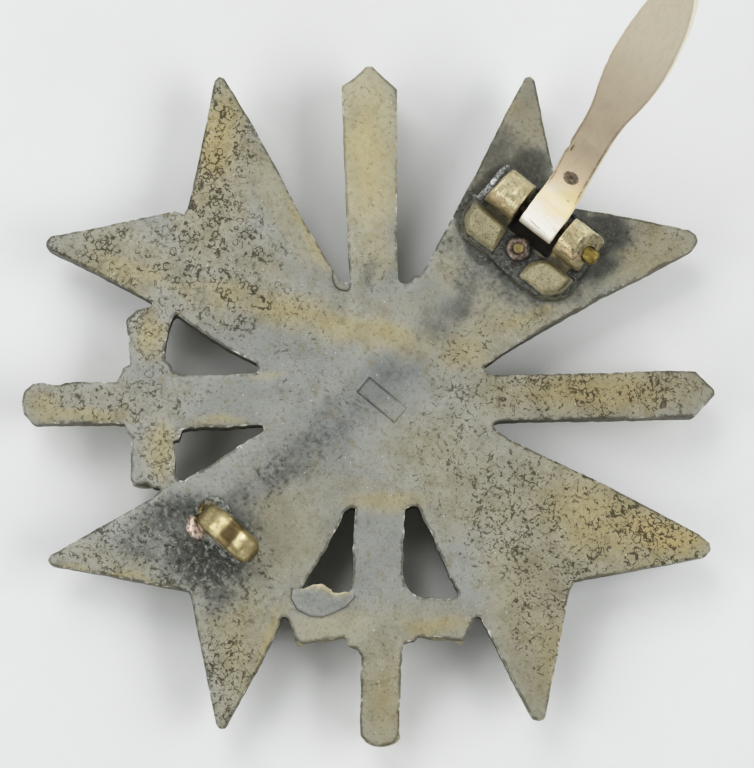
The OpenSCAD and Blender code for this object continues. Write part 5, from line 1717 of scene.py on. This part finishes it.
# ------------------------------------------------------------------ catch hook
H = 0.055
lo = (-4.1, -2.6, -0.2)
P = sgrid(lo, (3.4, 2.6, 4.6), H)
U, W, Z = P
WIRE_T, WIRE_W, HOOK_R, HOOK_H = 1.5, 1.9, 2.55, 1.75
RC = HOOK_R - WIRE_T / 2
ham = 0.05 * noise3(U, W, Z, 0.9, 141) + 0.025 * noise3(U, W, Z, 0.4, 142)
rho = np.sqrt(U ** 2 + (Z - HOOK_H) ** 2)
ang = np.arctan2(Z - HOOK_H, U)


def wire(dr, dy, r=0.58):
    qx, qy = np.abs(dr) - (WIRE_T / 2 - r), np.abs(dy) - (WIRE_W / 2 - r)
    return np.sqrt(np.maximum(qx, 0) ** 2 + np.maximum(qy, 0) ** 2) + np.minimum(np.maximum(qx, qy), 0) - r


# the wire narrows and rounds towards both ends
endr = smooth(HOOK_H + 1.3, HOOK_H - 0.5, Z) * (U > 0)
endl = smooth(HOOK_H + 1.6, HOOK_H - 0.6, Z) * (U < 0)
WN = W * (0.95 + 0.50 * endr ** 1.5 + 0.16 * endl)
bend = wire(rho - RC, WN)
# keep the part from the standing leg (180 degrees) over the top to a little past level at the free end
drop = math.radians(-15)
cut = (-(U * math.sin(drop)) * -1 - (Z - HOOK_H) * math.cos(drop)) if False else ((Z - HOOK_H) * -math.cos(drop) + U * math.sin(drop))
right_side = smax(bend, cut, 0.62)
left_side = smax(bend, -(Z - HOOK_H), 0.02)
bend = np.where(U > 0, right_side, left_side)
leg = smax(wire(U + RC, WN), Z - HOOK_H - 0.05, 0.02)
hookd = smin(bend, leg, 0.06) + ham
foot = box3(P, (-2.5, -0.95, -0.3), (1.2, 0.95, 0.50), 0.22)
hookd = smin(hookd, foot + ham, 0.30)
sol = smin(np.sqrt(((U + 1.9) / 1.35) ** 2 + (W / 1.35) ** 2 + (Z / 0.60) ** 2) - 1, 9 + 0 * U, 0.1) * 0.5
for bu, bv, br, bz in [(-2.40, -1.15, .62, .62), (-1.85, -1.50, .42, .40), (-2.72, -.80, .40, .60), (-2.85, .15, .30, .55), (-2.75, .75, .36, .38), (-2.3, 1.2, .42, .24),
                       (-1.5, 1.2, .45, .14), (.7, -.9, .4, .10), (1.3, -.8, .35, .08), (-.7, -1.05, .5, .10)]:
    sol = smin(sol, (np.sqrt(((U - bu) / br) ** 2 + ((W - bv) / br) ** 2 + ((Z - .02) / bz) ** 2) - 1) * min(br, bz), 0.30)
sol = sol + 0.07 * noise3(U, W, Z, 0.42, 143) + 0.03 * noise3(U, W, Z, 0.2, 144)
whole = smax(smin(hookd, sol, 0.10), -Z, 0.03)
V, Q = nets(whole, lo, H)
hu, hw, hz = V.T
sold = smooth(0.62, 0.30, hz - 0.35 * smooth(-1.4, -2.2, hu) * smooth(-.4, -1.0, hw)) * np.maximum(smooth(0.80, 1.02, np.abs(hw)), smooth(-2.5, -2.75, hu))
q = turn2(V[:, :2], HOOK_TURN) + np.array(HOOK_AT)
# painted shade inside the arch
arch_inner_shade = smooth(1.5, 1.15, np.hypot(hu, hz - HOOK_H))
pink = smooth(0.9, 0.4, np.hypot((hu + 2.3) / 1.1, (hw + 1.25) / 0.8) * 0.8)
# painted shade on the downturned ends of the wire
ends = np.maximum(smooth(2.1, 2.5, hu), smooth(-1.9, -2.4, hu))
# the hook's third aux channel: a painted reflection band over the apex of the arch
hook = add_mesh("catch_hook_wire", np.column_stack([q, hz + BACK + 0.01]), Q, {"mask": np.stack([sold, smooth(0.9, 0.1, hz) * (1 - sold), arch_inner_shade], 1),
                 "aux": np.stack([pink, ends, smooth(0.70, 0.40, np.abs(hu - 0.25)) * smooth(HOOK_H + 1.2, HOOK_H + 1.8, hz)], 1), "side_shade": smooth(0.50, 0.86, np.abs(hw) + 0.10 * noise2(hu, hw, 0.8, 172))}, smooth_all=True)
mh = Mat("hook_brass")
s_, g_, inner_shade_ = mh.split(mh.attr("mask", "Color"))
n1 = mh.noise(1.1, 3, 0.6)
n2 = mh.noise(0.3, 4, 0.6)
pk_, end_shade_, apex_reflection_ = mh.split(mh.attr("aux", "Color"))
col = mh.mix(mh.step(n1, 0.38, 0.62), lin(210, 196, 158), lin(182, 169, 132))
col = mh.mix(mh.mul(mh.step(n2, 0.50, 0.70), 0.45), col, lin(138, 116, 72))
# painted reflection: a dark band across the top of the arch
col = mh.mix(mh.mul(apex_reflection_, 0.74), col, lin(92, 79, 50))
# painted shade on the downturned ends
col = mh.mix(mh.mul(end_shade_, 0.88), col, mh.mix(mh.step(n2, 0.4, 0.6), lin(92, 84, 56), lin(132, 122, 88)))
# painted shade on the sides of the wire
col = mh.mix(mh.mul(mh.attr("side_shade"), 0.45), col, lin(112, 102, 72))
col = mh.mix(mh.mul(g_, 0.8), col, lin(64, 58, 46))
# painted shade inside the arch
col = mh.mix(mh.mul(inner_shade_, 0.6), col, lin(80, 72, 54))
soldc = mh.mix(mh.step(n2, 0.40, 0.62), lin(84, 86, 82), lin(150, 152, 146))
soldc = mh.mix(pk_, soldc, mh.mix(mh.step(n2, 0.38, 0.58), lin(150, 128, 116), lin(240, 218, 204)))
col = mh.mix(s_, col, soldc)
hook.data.materials.append(mh.finish(Base_Color=col, Metallic=mh.step(s_, 0, 1, 0.85, 0.45), Roughness=mh.step(n2, 0.3, 0.7, 0.36, 0.46), Normal=mh.bump(mh.add(mh.mul(n1, 0.4), mh.mul(n2, mh.step(s_, 0, 1, 0.25, 1.0))), 0.40, 0.04)))
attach(hook, "cross")
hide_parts("catch_hook")
